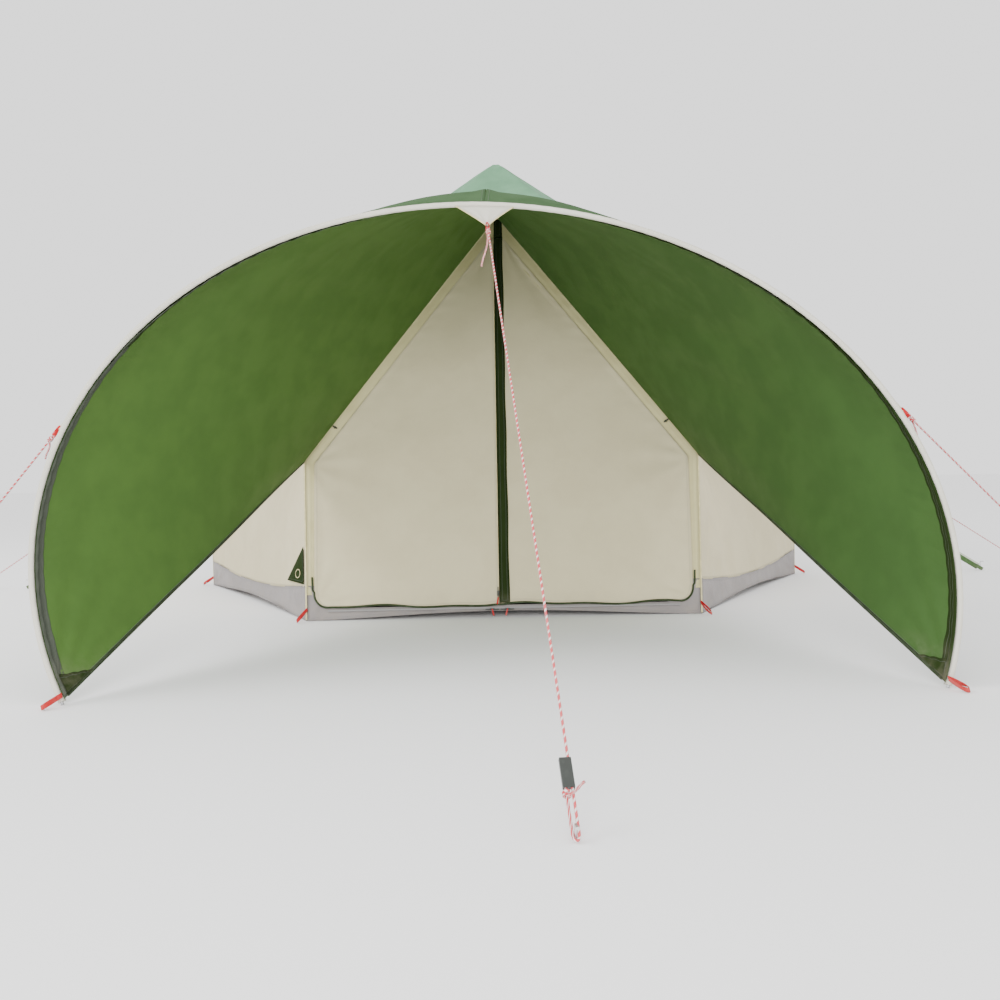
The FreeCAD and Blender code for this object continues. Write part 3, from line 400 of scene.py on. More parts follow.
def makeSolidLook(name, color, rough, metal=0.0, grain=40.0, depth=0.0002, wear=0.25):
    # moulded or painted surface: fine grain, uneven gloss and paler rubbed patches
    material, tree, shader = startMaterial(name)
    spot = tree.nodes.new("ShaderNodeTexCoord").outputs["Object"]
    fine = noise(tree, spot, grain * 20, 2.0)
    patch = noise(tree, spot, grain, 4.0, 0.6)
    rubbed = calc(tree, "MULTIPLY", ramp(tree, patch, 0.5, 0.75), wear)
    paler = tuple(min(1.0, part * 1.5 + 0.03) for part in color)
    wire(tree, shader.inputs["Base Color"], mixColor(tree, rubbed, color, paler))
    wire(tree, shader.inputs["Roughness"], calc(tree, "MULTIPLY_ADD", patch, 0.2, rough - 0.1))
    shader.inputs["Metallic"].default_value = metal
    bumpFrom(tree, shader, fine, depth, 0.4)
    return material


def makeWebbing(name, color, stripe=None):
    # ribbed webbing: cross ribs along its length and a firmer edge
    material, tree, shader = startMaterial(name)
    spot = tree.nodes.new("ShaderNodeTexCoord")
    split = tree.nodes.new("ShaderNodeSeparateXYZ")
    wire(tree, split.inputs[0], spot.outputs["UV"])
    rib = calc(tree, "SINE", calc(tree, "MULTIPLY", split.outputs[1], 2 * pi * 420))
    cross = calc(tree, "SINE", calc(tree, "MULTIPLY", split.outputs[0], 2 * pi * 330))
    height = calc(tree, "MULTIPLY_ADD", rib, 0.35, calc(tree, "MULTIPLY", cross, 0.2))
    patch = noise(tree, spot.outputs["Object"], 30.0, 4.0)
    faded = tuple(min(1.0, part * 1.25 + 0.02) for part in color)
    tone = mixColor(tree, ramp(tree, patch, 0.4, 0.7), color, faded)
    if stripe:
        edge = ramp(tree, split.outputs[0], stripe[1], stripe[1] + 0.001)
        tone = mixColor(tree, edge, tone, stripe[0])
    dust = useGroup(tree, dustGroup, Vector=spot.outputs["Object"], Top=0.05)
    tone = mixColor(tree, calc(tree, "MULTIPLY", dust["Mask"], 0.3), tone, (0.36, 0.31, 0.24))
    wire(tree, shader.inputs["Base Color"], tone)
    wire(tree, shader.inputs["Roughness"], calc(tree, "MULTIPLY_ADD", patch, 0.2, 0.55))
    shader.inputs["Sheen Weight"].default_value = 0.05
    shader.inputs["Specular IOR Level"].default_value = 0.2
    bumpFrom(tree, shader, height, 0.0003, 0.6)
    return material


def makeRopeLook():
    # braided cord: pale strands with a red tracer that winds round in flecks
    material, tree, shader = startMaterial("guyCord")
    spot = tree.nodes.new("ShaderNodeTexCoord")
    split = tree.nodes.new("ShaderNodeSeparateXYZ")
    wire(tree, split.inputs[0], spot.outputs["UV"])
    around = split.outputs[0]
    run = split.outputs[1]
    wind = calc(tree, "FRACT", calc(tree, "ADD", calc(tree, "MULTIPLY", run, 55.0), around))
    band = ramp(tree, calc(tree, "ABSOLUTE", calc(tree, "SUBTRACT", wind, 0.5)), 0.36, 0.31)
    left = calc(tree, "SINE", calc(tree, "MULTIPLY", calc(
        tree, "MULTIPLY_ADD", run, 330.0, calc(tree, "MULTIPLY", around, 4.0)), 2 * pi))
    right = calc(tree, "SINE", calc(tree, "MULTIPLY", calc(
        tree, "MULTIPLY_ADD", run, 330.0, calc(tree, "MULTIPLY", around, -4.0)), 2 * pi))
    braid = calc(tree, "MULTIPLY", left, right)
    fleck = calc(tree, "MULTIPLY", band, ramp(tree, braid, -0.85, -0.6))
    worn = noise(tree, spot.outputs["Object"], 90.0, 3.0)
    white = mixColor(tree, worn, (0.66, 0.62, 0.60), (0.80, 0.77, 0.75))
    wire(tree, shader.inputs["Base Color"], mixColor(tree, fleck, white, (0.58, 0.012, 0.022)))
    wire(tree, shader.inputs["Roughness"], calc(tree, "MULTIPLY_ADD", worn, 0.2, 0.6))
    bumpFrom(tree, shader, braid, 0.0005, 0.7)
    return material


redWebbing = makeWebbing("redWebbing", (0.42, 0.004, 0.008))
strapWebbing = makeWebbing("strapWebbing", (0.045, 0.095, 0.026), ((0.50, 0.53, 0.44), 0.029))
palePiping = makeWebbing("palePiping", (0.56, 0.50, 0.27))
darkPiping = makeWebbing("darkPiping", (0.022, 0.036, 0.010))
guyCord = makeRopeLook()
greySteel = makeSolidLook("greySteel", (0.42, 0.43, 0.44), 0.42, 0.85, 12.0)
zincSteel = makeSolidLook("zincSteel", (0.60, 0.60, 0.60), 0.35, 0.95, 60.0)
darkRod = makeSolidLook("darkRod", (0.035, 0.036, 0.038), 0.4, 0.0, 60.0)
blackPlastic = makeSolidLook("blackPlastic", (0.022, 0.026, 0.022), 0.45, 0.0, 80.0)
blackZip = makeSolidLook("blackZip", (0.022, 0.024, 0.02), 0.5, 0.0, 200.0, 0.0006)
greyZip = makeSolidLook("greyZip", (0.24, 0.23, 0.225), 0.55, 0.0, 200.0, 0.0006)
print("materials made")


# mesh tools

def gridFaces(rows, columns, wrap, start=0):
    index = np.arange(rows * columns).reshape(rows, columns) + start
    if wrap:
        index = np.concatenate([index, index[:, :1]], axis=1)
    quads = np.stack([index[:-1, :-1], index[:-1, 1:], index[1:, 1:], index[1:, :-1]], axis=-1)
    return quads.reshape(-1, 4)


def runLength(grid, axis):
    step = np.linalg.norm(np.diff(grid, axis=axis), axis=-1)
    pad = [(1, 0), (0, 0)] if axis == 0 else [(0, 0), (1, 0)]
    return np.pad(np.cumsum(step, axis=axis), pad)


def buildMesh(name, points, faces, uv, edge=None, along=None, recalc=False):
    mesh = bpy.data.meshes.new(name)
    mesh.from_pydata(points.tolist(), [], faces)
    layer = mesh.uv_layers.new(name="cloth")
    corners = np.empty(len(mesh.loops), np.int32)
    mesh.loops.foreach_get("vertex_index", corners)
    layer.data.foreach_set("uv", uv[corners].astype(np.float32).ravel())
    for label, values in (("edge", edge), ("along", along)):
        if values is not None:
            kept = mesh.attributes.new(label, "FLOAT", "POINT")
            kept.data.foreach_set("value", values.astype(np.float32).ravel())
    if recalc:
        work = bmesh.new()
        work.from_mesh(mesh)
        bmesh.ops.recalc_face_normals(work, faces=work.faces)
        work.to_mesh(mesh)
        work.free()
    mesh.polygons.foreach_set("use_smooth", np.ones(len(mesh.polygons), bool))
    mesh.update()
    return mesh


def sheetMesh(name, grids, away):
    # open cloth from grids of points; faces look away from the given point
    points, faces, uv, edges, alongs = [], [], [], [], []
    start = 0
    for grid in grids:
        rows, columns = grid.shape[:2]
        across = runLength(grid, 1)
        along = runLength(grid, 0)
        edge = np.minimum(np.minimum(across, across[:, -1:] - across),
                          np.minimum(along, along[-1:] - along))
        nearSide = np.minimum(across, across[:, -1:] - across) < np.minimum(
            along, along[-1:] - along)
        quads = gridFaces(rows, columns, False, start)
        middle = grid[rows // 2, columns // 2]
        normal = np.cross(grid[rows // 2, columns // 2 + 1] - middle,
                          grid[rows // 2 + 1, columns // 2] - middle)
        if normal @ (middle - np.asarray(away)) < 0:
            quads = quads[:, ::-1]
        points.append(grid.reshape(-1, 3))
        faces += quads.tolist()
        uv.append(np.stack([across - across[:, columns // 2][:, None], along], -1).reshape(-1, 2))
        edges.append(edge.ravel())
        alongs.append(np.where(nearSide, along, across).ravel())
        start += rows * columns
    return buildMesh(name, np.concatenate(points), faces, np.concatenate(uv),
                     np.concatenate(edges), np.concatenate(alongs))


def tubeMesh(name, tubes, turns=False):
    # closed solids from rings of points; both ends are capped
    points, faces, uv = [], [], []
    start = 0
    for grid in tubes:
        rows, columns = grid.shape[:2]
        along = runLength(grid, 0)
        around = np.arange(columns) / columns if turns else runLength(grid, 1)[0]
        points.append(grid.reshape(-1, 3))
        faces += gridFaces(rows, columns, True, start).tolist()
        faces.append(list(range(start, start + columns))[::-1])
        faces.append(list(range(start + (rows - 1) * columns, start + rows * columns)))
        uv.append(np.stack([np.broadcast_to(around, (rows, columns)), along], -1).reshape(-1, 2))
        start += rows * columns
    return buildMesh(name, np.concatenate(points), faces, np.concatenate(uv),
                     np.ones(start), np.zeros(start), recalc=True)


def sweep(path, lift, profile):
    # a profile of (across, lift) offsets carried along the path
    path = np.asarray(path, float)
    tangent = unit(np.gradient(path, axis=0))
    lift = np.broadcast_to(np.asarray(lift, float), path.shape)
    lift = unit(lift - tangent * (lift * tangent).sum(-1, keepdims=True))
    across = np.cross(tangent, lift)
    profile = np.asarray(profile, float)
    return (path[:, None] + across[:, None] * profile[None, :, :1]
            + lift[:, None] * profile[None, :, 1:])


def bandProfile(width, thickness):
    # a flat band with rounded sides
    half, side = width / 2, thickness / 2
    turn = np.linspace(-pi / 2, pi / 2, 5)
    right = np.stack([half - side + side * np.cos(turn), side * np.sin(turn)], -1)
    return np.concatenate([right, -right])


def roundProfile(radius, count=12):
    turn = np.linspace(0, 2 * pi, count, endpoint=False)
    return np.stack([radius * np.cos(turn), radius * np.sin(turn)], -1)


def addPiece(name, mesh, material, body, stands=(), thickness=0.0, inner=None):
    piece = bpy.data.objects.new(name, mesh)
    scene.collection.objects.link(piece)
    mesh.materials.append(material)
    if thickness:
        shell = piece.modifiers.new("clothThickness", "SOLIDIFY")
        shell.thickness = thickness
        shell.offset = -1
        if inner:
            mesh.materials.append(inner)
            shell.material_offset = 1
    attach(piece, body)
    if stands:
        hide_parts(*stands)
    return piece


def addSheet(name, grids, away, look, body, stands=(), depth=clothDepth, inner=None):
    # open cloth with its thickness; inner is the look of its other face
    return addPiece(name, sheetMesh(name, grids, away), cloth[look], body, stands,
                    depth, cloth[inner] if inner else None)


def addTubes(name, tubes, material, body, stands=()):
    return addPiece(name, tubeMesh(name, tubes), material, body, stands)


def dress(material, *names):
    for name in names:
        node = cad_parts[name]
        if not node.data.materials:
            node.data.materials.append(material)
        for slot in node.material_slots:
            slot.material = material


# guy ropes: ring end, peg and runner end are the route's points; tail is where the
# loose end of the knot hangs to
ropes = {
    "front": {"points": [(-0.0240, -2.6603, 1.4057), (-0.0215, -2.6837, 1.3826),
                         (0.1254, -4.0527, 0.0289), (0.1279, -4.0761, 0.0057),
                         (0.1159, -4.0773, 0.0057), (0.1134, -4.0539, 0.0289),
                         (0.1082, -4.0050, 0.0773)],
              "length": 2.107, "tail": (-0.018, 0.004, -0.100), "curl": (0.034, -0.012, 0.03)},
    "arch_left": {"points": [(-1.3894, -2.7354, 0.7778), (-1.4116, -2.7321, 0.7536),
                             (-2.0773, -2.6329, 0.0299), (-2.0996, -2.6296, 0.0057),
                             (-2.0977, -2.6177, 0.0057), (-2.0755, -2.6210, 0.0299),
                             (-2.0290, -2.6279, 0.0804)],
                  "length": 1.164, "tail": (-0.004, -0.010, -0.060),
                  "curl": (0.02, -0.03, 0.02)},
    "arch_right": {"points": [(1.2726, -2.7361, 0.7831), (1.2965, -2.7327, 0.7606),
                              (2.0740, -2.6213, 0.0283), (2.0979, -2.6179, 0.0057),
                              (2.0995, -2.6298, 0.0057), (2.0756, -2.6332, 0.0283),
                              (2.0256, -2.6403, 0.0753)],
                   "length": 1.250, "tail": (0.022, -0.010, -0.095),
                   "curl": (-0.02, -0.03, 0.02)},
    "ridge_left": {"points": [(-1.3951, 0.0, 1.1662), (-1.4228, -0.0001, 1.1482),
                              (-3.1491, -0.0059, 0.0238), (-3.1768, -0.0060, 0.0057),
                              (-3.1768, 0.0060, 0.0057), (-3.1491, 0.0061, 0.0238),
                              (-3.0913, 0.0063, 0.0614)],
                   "length": 2.236, "tail": (-0.015, 0.0, -0.06), "curl": (0.0, 0.03, 0.02)},
    "ridge_right": {"points": [(1.3951, 0.0, 1.1662), (1.4228, 0.0001, 1.1482),
                               (3.1491, 0.0059, 0.0238), (3.1768, 0.0060, 0.0057),
                               (3.1768, -0.0060, 0.0057), (3.1491, -0.0061, 0.0238),
                               (3.0913, -0.0063, 0.0614)],
                    "length": 2.236, "tail": (0.015, 0.0, -0.06), "curl": (0.0, -0.03, 0.02)},
}
cordDiameter = 0.0055


def splinePoints(name, points):
    # the points that Blender gives for the route's smooth curve
    data = bpy.data.curves.new(name, "CURVE")
    data.dimensions = "3D"
    data.resolution_u = 40
    spline = data.splines.new("NURBS")
    spline.points.add(len(points) - 1)
    spline.points.foreach_set("co", np.array([(*p, 1.0) for p in points]).ravel())
    spline.order_u = 3
    spline.use_endpoint_u = True
    holder = bpy.data.objects.new(name, data)
    mesh = bpy.data.meshes.new_from_object(holder)
    found = np.empty(len(mesh.vertices) * 3)
    mesh.vertices.foreach_get("co", found)
    bpy.data.meshes.remove(mesh)
    bpy.data.objects.remove(holder)
    bpy.data.curves.remove(data)
    return found.reshape(-1, 3)


def evenPath(path, step):
    # the same path with a point about every step
    run = np.concatenate([[0], np.cumsum(np.linalg.norm(np.diff(path, axis=0), axis=1))])
    count = max(4, int(run[-1] / step))
    even = np.linspace(0, run[-1], count)
    even = np.unique(np.concatenate([even, run[np.abs(np.gradient(run)) < step]]))
    return np.stack([np.interp(even, run, path[:, axis]) for axis in range(3)], -1)


def cordTube(path, radius=cordDiameter / 2, count=10):
    reference = np.array([0.3, 0.2, 1.0])
    return sweep(path, reference, roundProfile(radius, count))


def knotPath(centre, along, spare, loops=2.6, radius=0.0052, pitch=0.0052):
    # wraps round the taut strand, then a loose end that hangs away
    along = unit(along)
    side = unit(np.cross(along, [0.2, 1.0, 0.1]))
    other = np.cross(along, side)
    turn = np.linspace(0, 2 * pi * loops, 44)
    wraps = (centre + side * (radius * np.cos(turn))[:, None]
             + other * (radius * np.sin(turn))[:, None]
             + along * (pitch * turn / (2 * pi))[:, None])
    share = np.linspace(0.08, 1, 14)[:, None]
    drift = np.array([0.0035, 0.002, 0.0]) * np.sin(share * 5.0)
    tail = wraps[-1] + np.asarray(spare) * share + drift
    return np.concatenate([wraps, tail])


def makeRope(name, facts):
    path = evenPath(splinePoints(name, facts["points"]), 0.02)
    start, toward = path[0], unit(path[2] - path[0])
    eye = start + toward * 0.004
    back = unit(path[-1] - path[-2])
    ring = knotPath(eye, toward, facts["tail"])
    bowTurn = np.linspace(0, 2 * pi, 26)[:-1]
    bowSide = unit(np.cross(toward, [0.0, 1.0, 0.15]))
    bow = (start - toward * 0.006 + toward * (0.010 * np.cos(bowTurn))[:, None]
           + bowSide * (0.0045 * np.sin(bowTurn))[:, None])
    bow = np.concatenate([bow, bow[:2]])
    stop = knotPath(path[-1] - back * 0.012, -back, facts["curl"], 2.2)
    knot = addPiece(f"{name}RopeKnots", tubeMesh(
        f"{name}RopeKnots", [cordTube(ring), cordTube(bow), cordTube(stop)], True),
        guyCord, "tent")
    mesh = tubeMesh(f"{name}Rope", [cordTube(path)], True)
    rope = addPiece(f"{name}Rope", mesh, guyCord, "tent", [f"{name}_rope"])


for ropeName, ropeFacts in ropes.items():
    makeRope(ropeName, ropeFacts)
print("ropes made")

# walls and floor of the tent
seamDip = {"corner": 0.150, "middle": 0.100}  # height of the tub's upper seam
insideTent = (0, 0, 0.7)


def rimRise(u):
    # between its corner pegs the floor's edge lifts off the ground a little
    return 0.030 * np.sin(pi * u) ** 1.3


def tubSeam(u):
    rise = np.abs(2 * u - 1) ** 1.8
    return seamDip["middle"] + (seamDip["corner"] - seamDip["middle"]) * rise


def wallGrid(side, low, high, rows, columns, seed):
    # ruled between ground line and eave, pulled in a little and creased at the corners
    left, right = sideCorners[side]
    u = np.linspace(0, 1, columns)
    share = np.linspace(0, 1, rows)[:, None]
    height = (low(u) * (1 - share) + high(u) * share) / tent["wallHeight"]
    foot = lerp(baseCorner(left), baseCorner(right), u)
    eave = lerp(eaveCorner(left), eaveCorner(right), u)
    point = foot[None] * (1 - height[..., None]) + eave[None] * height[..., None]
    outward = unit((baseCorner(left) + baseCorner(right)) * np.array([1, 1, 0]))
    wide = tent["cornerRadius"]
    x = u[None] * wide + height * 0
    y = height * tent["wallHeight"]
    span = np.sin(pi * u)[None] ** 0.7
    bow = 0.010 * span * np.sin(pi * np.clip(height, 0, 1))
    folds = 0.0045 * (fan(x, y, (0, 0.72), 26, 0.35) + fan(x, y, (wide, 0.72), 26, 0.35)
                      + fan(x, y, (0, 0), 22, 0.28, 1) + fan(x, y, (wide, 0), 22, 0.28, 2))
    soft = 0.004 * waves(x, y * 1.4, seed, 0.42)
    still = np.clip(np.sin(pi * u)[None] * 6, 0, 1)
    return point - outward * (bow + (folds + soft + 0.002) * still)[..., None]


def roofGrid(side, rows, columns, seed):
    # ruled between eave and peak rim, bowed in like stretched cloth
    left, right = sideCorners[side]
    u = np.linspace(0, 1, columns)
    v = np.linspace(0, 1, rows)[:, None]
    low = lerp(eaveCorner(left), eaveCorner(right), u)
    top = lerp(rimCorner(left), rimCorner(right), u)
    point = low[None] * (1 - v[..., None]) + top[None] * v[..., None]
    normal = unit(np.cross(low[-1] - low[0], top[0] - low[0]))
    if normal @ (low[0] + low[-1]) < 0:
        normal = -normal
    width = np.linalg.norm(low[-1] - low[0])
    length = np.linalg.norm(top[0] + top[-1] - low[0] - low[-1]) / 2
    x = (u[None] - 0.5) * (width * (1 - v) + tent["rimRadius"] * v)
    y = v * length + 0 * u[None]
    bow = 0.022 * np.sin(pi * u)[None] ** 0.8 * np.sin(pi * np.clip(v * 0.96 + 0.03, 0, 1))
    folds = 0.006 * (fan(x, y, (-width / 2, 0), 24, 0.5) + fan(x, y, (width / 2, 0), 24, 0.5, 2)
                     + 0.6 * fan(x, y, (0, length), 18, 0.35, 1))
    soft = 0.005 * waves(x * 1.3, y * 0.7, seed, 0.5)
    still = np.clip(np.sin(pi * u)[None] * 7, 0, 1) * np.clip(np.sin(pi * v) * 7 + 0.1, 0, 1)
    return point - normal * (bow + (folds + soft + 0.003) * still)[..., None]


tubGrids = []
for number, (side, (left, right)) in enumerate(sideCorners.items()):
    tubGrids.append(wallGrid(side, lambda u: 0.001 + rimRise(u), tubSeam, 14, 61, 40 + number))
    wallFace = wallGrid(side, lambda u: tubSeam(u) - 0.004,
                        lambda u: 0 * u + tent["wallHeight"], 41, 91, 20 + number)
    camel = "".join(word.capitalize() for word in side.split("_"))
    wall = addSheet(f"wall{camel}", [wallFace], insideTent, "creamCloth", "tent",
                    [f"wall_{side}"])
    span = float(np.linalg.norm(eaveCorner(left) - eaveCorner(right)))
    slope = float(np.linalg.norm(eaveCorner(left) - rimCorner(left)))
    roof = addSheet(f"roof{camel}", [roofGrid(side, 71, 81, number)], insideTent,
                    "greenOutside", "tent", [f"roof_{side}"])
tub = addSheet("bathtubRim", tubGrids, insideTent, "tubGrey", "tent",
               ["bathtub_rim"])
print("walls and roof made")


def hexRadius(turn):
    # distance from the centre to a hexagon's side for a corner radius of 1
    return math.cos(pi / 6) / np.cos(np.mod(turn, pi / 3) - pi / 6)


def roundSheet(name, radii, heightOf, away, count=96):
    # six-sided cloth in rings, closed in the middle by a fan of triangles
    turn = np.linspace(0, 2 * pi, count, endpoint=False)
    reach = np.asarray(radii)[:, None] * hexRadius(turn)[None]
    x, y = reach * np.cos(turn), reach * np.sin(turn)
    z = heightOf(x, y, np.asarray(radii)[:, None] + 0 * turn[None])
    grid = np.stack([x, y, z], -1)
    rows = len(radii)
    middle = np.array([[0, 0, grid[-1, :, 2].mean()]])
    points = np.concatenate([grid.reshape(-1, 3), middle])
    faces = gridFaces(rows, count, True).tolist()
    last = (rows - 1) * count
    faces += [[last + i, last + (i + 1) % count, rows * count] for i in range(count)]
    first = points[faces[0][1]] - points[faces[0][0]]
    second = points[faces[0][3]] - points[faces[0][0]]
    if np.cross(first, second) @ (points[faces[0][0]] - np.asarray(away)) < 0:
        faces = [face[::-1] for face in faces]
    edge = np.concatenate([np.repeat((radii[0] - np.asarray(radii)) * 0.87, count), [1.0]])
    along = np.concatenate([np.tile(turn * radii[0], rows), [0.0]])
    return buildMesh(name, points, faces, points[:, :2].copy(), edge, along)


def floorHeight(x, y, radius):
    # the floor lies flat with low soft ripples, and its rim follows the lift between pegs
    free = smoothStep((1.745 - radius) / 0.25)
    u = np.mod(np.arctan2(y, x), pi / 3) / (pi / 3)
    rise = rimRise(np.clip(u, 0, 1)) * smoothStep((radius - 1.5) / 0.245)
    ripple = (0.004 + 0.004 * waves(x, y, 71, 0.55)) * free
    return 0.0018 + rise + ripple * smoothStep((np.hypot(x, y) - 0.05) / 0.3)


def peakHeight(x, y, radius):
    # straight slopes that sink a little between the ridges and round off over the cap
    slope = (tent["peakHeight"] - tent["rimHeight"]) / tent["rimRadius"]
    turn = np.arctan2(y, x)
    between = np.sin(np.mod(turn, pi / 3) * 3)
    top = tent["peakHeight"] - 0.0172
    rim = tent["rimRadius"]
    soft = 0.0016 * waves(x, y, 9, 0.16) * smoothStep((rim - 0.01 - radius) / 0.1)
    sink = 0.014 * between * np.sin(pi * np.clip(radius / rim, 0, 1))
    cone = tent["peakHeight"] - slope * radius - sink + soft
    return top - np.logaddexp(0, (top - cone) / 0.005) * 0.005 + 0.002


floor = addPiece("floorSheet", roundSheet("floorSheet", np.linspace(1.745, 0.01, 60),
                                         floorHeight, (0, 0, -5)),
                 cloth["tubGrey"], "tent", ["groundsheet"], 0.0008)
# the peak panel's pale teal look holds a painted sky reflection
peak = addPiece("peakPanel", roundSheet("peakPanel", np.linspace(tent["rimRadius"], 0.004, 60),
                                       peakHeight, (0, 0, 0), 144),
                cloth["peakGreenPaintedReflection"], "tent", ["peak_panel"], clothDepth)

# doors: inner edge at the split, outer edge up the side, over the corner and up the slant
door = {"bottom": 0.060, "round": 0.060, "lowX": 0.843, "splitX": -0.018, "gap": 0.0015,
        "sideTop": (0.889, 0.7035), "flapWidth": 0.044, "zipTop": 1.893,
        "headLow": 1.894, "headTop": 1.999, "pipeDrop": 0.005, "pipeRadius": 0.0042}


def bottomWave(x):
    # the lower edge hangs unevenly between its pull points
    return 0.005 * np.sin(x * 9.0 + 0.6) + 0.003 * np.sin(x * 21.0)


def doorOuter(side, height, top):
    # half width of the door at each height
    lowX, corner, bottom = door["lowX"], door["round"], door["bottom"]
    rise = np.clip(height - bottom, 0, corner)
    curve = lowX - corner + np.sqrt(np.clip(corner ** 2 - (corner - rise) ** 2, 0, None))
    sideX, sideZ = door["sideTop"]
    upright = lowX + (sideX - lowX) * (height - bottom) / (sideZ - bottom)
    slant = sideX + (top[0] - sideX) * (height - sideZ) / (top[1] - sideZ)
    outer = np.where(height < sideZ, upright, slant)
    return np.where(height < bottom + corner, np.minimum(outer, curve), outer)


def doorGrid(side, rows=150, columns=90):
    inner = door["splitX"] + side * door["gap"]
    top = (0.0315, 1.8890) if side < 0 else (0.0285, 1.8930)
    rise = np.linspace(0, 1, rows)
    rise = np.concatenate([np.linspace(0, 0.03, 16)[:-1], 0.03 + 0.97 * rise])
    height = door["bottom"] + (top[1] - door["bottom"]) * rise
    outer = doorOuter(side, height, top) * side
    u = np.linspace(0, 1, columns)[None]
    x = inner * (1 - u) + outer[:, None] * u
    hang = np.clip(1 - (height - door["bottom"]) / 0.25, 0, 1)[:, None] ** 2
    z = height[:, None] + bottomWave(x) * hang * smoothStep(
        (door["lowX"] - np.abs(x)) / 0.12) * smoothStep(np.abs(x - inner) / 0.05)
    width = np.abs(outer[:, None] - inner)
    fromInner = np.abs(x - inner)
    fromOuter = width - fromInner
    still = smoothStep(fromInner / 0.10) * smoothStep(fromOuter / 0.05 + 0.1)
    still = still * smoothStep((height[:, None] - door["bottom"]) / 0.06 + 0.15)
    folds = 0.0024 * fan(x, z, (side * 0.93, 0.70), 11, 0.42)
    folds += 0.003 * fan(x, z, (side * 0.84, 0.07), 11, 0.3, 1)
    folds += 0.003 * fan(x, z, (0.0, 1.95), 21, 0.5, 2)
    folds += 0.0035 * waves(x * 0.8, z * 1.2, 5 + side, 0.5)
    pucker = 0.0016 * np.sin(z * 2 * pi / 0.075 + 2 * np.sin(z * 5)) * np.exp(-fromOuter / 0.05)
    out = (folds - 0.004) * still + pucker * smoothStep(fromOuter / 0.012)
    return frontPoint(x, z, np.clip(out, -0.011, 0.003) - 0.0002)


doorNames = {-1: "Left", 1: "Right"}
for side, word in doorNames.items():
    body = "door_" + word.lower()
    panel = addSheet(f"door{word}", [doorGrid(side)], insideTent, "creamCloth", body,
                     [body])
    # piping along the lower edge, round the corner and a little way up the side
    inner = door["splitX"] + side * door["gap"]
    x = np.linspace(inner, side * (door["lowX"] - 0.065), 60)
    still = smoothStep((door["lowX"] - np.abs(x)) / 0.12) * smoothStep(np.abs(x - inner) / 0.05)
    z = door["bottom"] - door["pipeDrop"] + bottomWave(x) * still
    turn = np.linspace(-pi / 2, 0, 16)[1:]
    bend = door["round"] + door["pipeDrop"]
    cornerX = side * (door["lowX"] - door["round"] + bend * np.cos(turn))
    cornerZ = door["bottom"] + door["round"] + bend * np.sin(turn)
    endZ = door["bottom"] + np.linspace(0.07, 0.125, 6)
    endX = side * (door["lowX"] + 0.005 + (endZ - door["bottom"]) * 0.115)
    line = frontPoint(np.concatenate([x, cornerX, endX]), np.concatenate([z, cornerZ, endZ]), 0.0)
    pipe = sweep(line, frontOut, roundProfile(door["pipeRadius"], 10))
    addTubes(f"doorPiping{word}", [pipe], darkPiping, body,
             [f"door_piping_{word.lower()}"])

# storm flap over the centre zip, with a pale edge line on the other door
flapZ = np.linspace(door["bottom"] + 0.001, door["zipTop"], 150)
flapU = np.linspace(0, 1, 15)
flapX = door["splitX"] + door["gap"] + flapU[None] * (
    door["flapWidth"] + 0.0012 * np.sin(flapZ[:, None] * 17) * flapU[None])
flapOut = 0.0016 + 0.0016 * np.sin(pi * flapU[None]) ** 0.6 + 0.0009 * flapU[None] * (
    1 + np.sin(flapZ[:, None] * 31 + 2 * np.sin(flapZ[:, None] * 7)))
flapFace = frontPoint(flapX, flapZ[:, None] + 0 * flapX, flapOut)
flap = addSheet("zipFlap", [flapFace], insideTent, "darkGreen", "door_right",
                ["zip_flap"], 0.001)
headZ = np.linspace(door["headLow"], door["headTop"], 12)[:, None]
headX = door["splitX"] + door["gap"] + flapU[None] * door["flapWidth"] + 0 * headZ
headFace = frontPoint(headX, headZ, 0.0016 + 0.0016 * np.sin(pi * flapU[None]) ** 0.6)
addSheet("zipFlapHead", [headFace], insideTent, "darkGreen", "tent",
         ["zip_flap_head"], 0.001)
lineZ = np.linspace(door["bottom"] + 0.004, door["zipTop"], 80)
edgeLine = sweep(frontPoint(door["splitX"] - door["gap"] - 0.0022 + 0 * lineZ, lineZ, 0.0008),
                 frontOut, roundProfile(0.0016, 8))
addTubes("zipEdgeLine", [edgeLine], palePiping, "door_left")
print("doors made")

# surround of the doors, from the sill up both sides and along the slants to the peak
surroundOuter = [(0.8825, 0.110), (tent["eaveHalf"], tent["wallHeight"]),
                 (0.0, tent["seamHeight"])]
surroundInner = [(0.8405, 0.110), (0.879, 0.694), (0.0, 1.885)]


def surroundGrid(side, columns=13):
    outerPath, innerPath = [], []
    for index, count in enumerate((50, 110)):
        share = np.linspace(0, 1, count, endpoint=index == 1)
        for kept, ends in ((outerPath, surroundOuter), (innerPath, surroundInner)):
            start, end = (np.array([side * x, z, 0.0]) for x, z in ends[index:index + 2])
            kept.append(lerp(start, end, share))
    outerPath, innerPath = np.concatenate(outerPath), np.concatenate(innerPath)
    u = np.linspace(0, 1, columns)
    flat = innerPath[:, None] * (1 - u[None, :, None]) + outerPath[:, None] * u[None, :, None]
    x, z = flat[..., 0], flat[..., 1]
    puff = 0.0018 * np.sin(z * 2 * pi / 0.11 + 3 * np.sin(z * 4)) * np.sin(pi * u)[None]
    back = -0.0045 * smoothStep((1 - u[None]) * 3 - 1.2) - 0.0008
    return frontPoint(x, z, back + puff * 0.6 - 0.0008)


for side, word in doorNames.items():
    stands = ["door_header"] if side < 0 else []
    surround = addSheet(f"doorSurround{word}", [surroundGrid(side)], insideTent,
                        "creamSurround", "tent", stands)

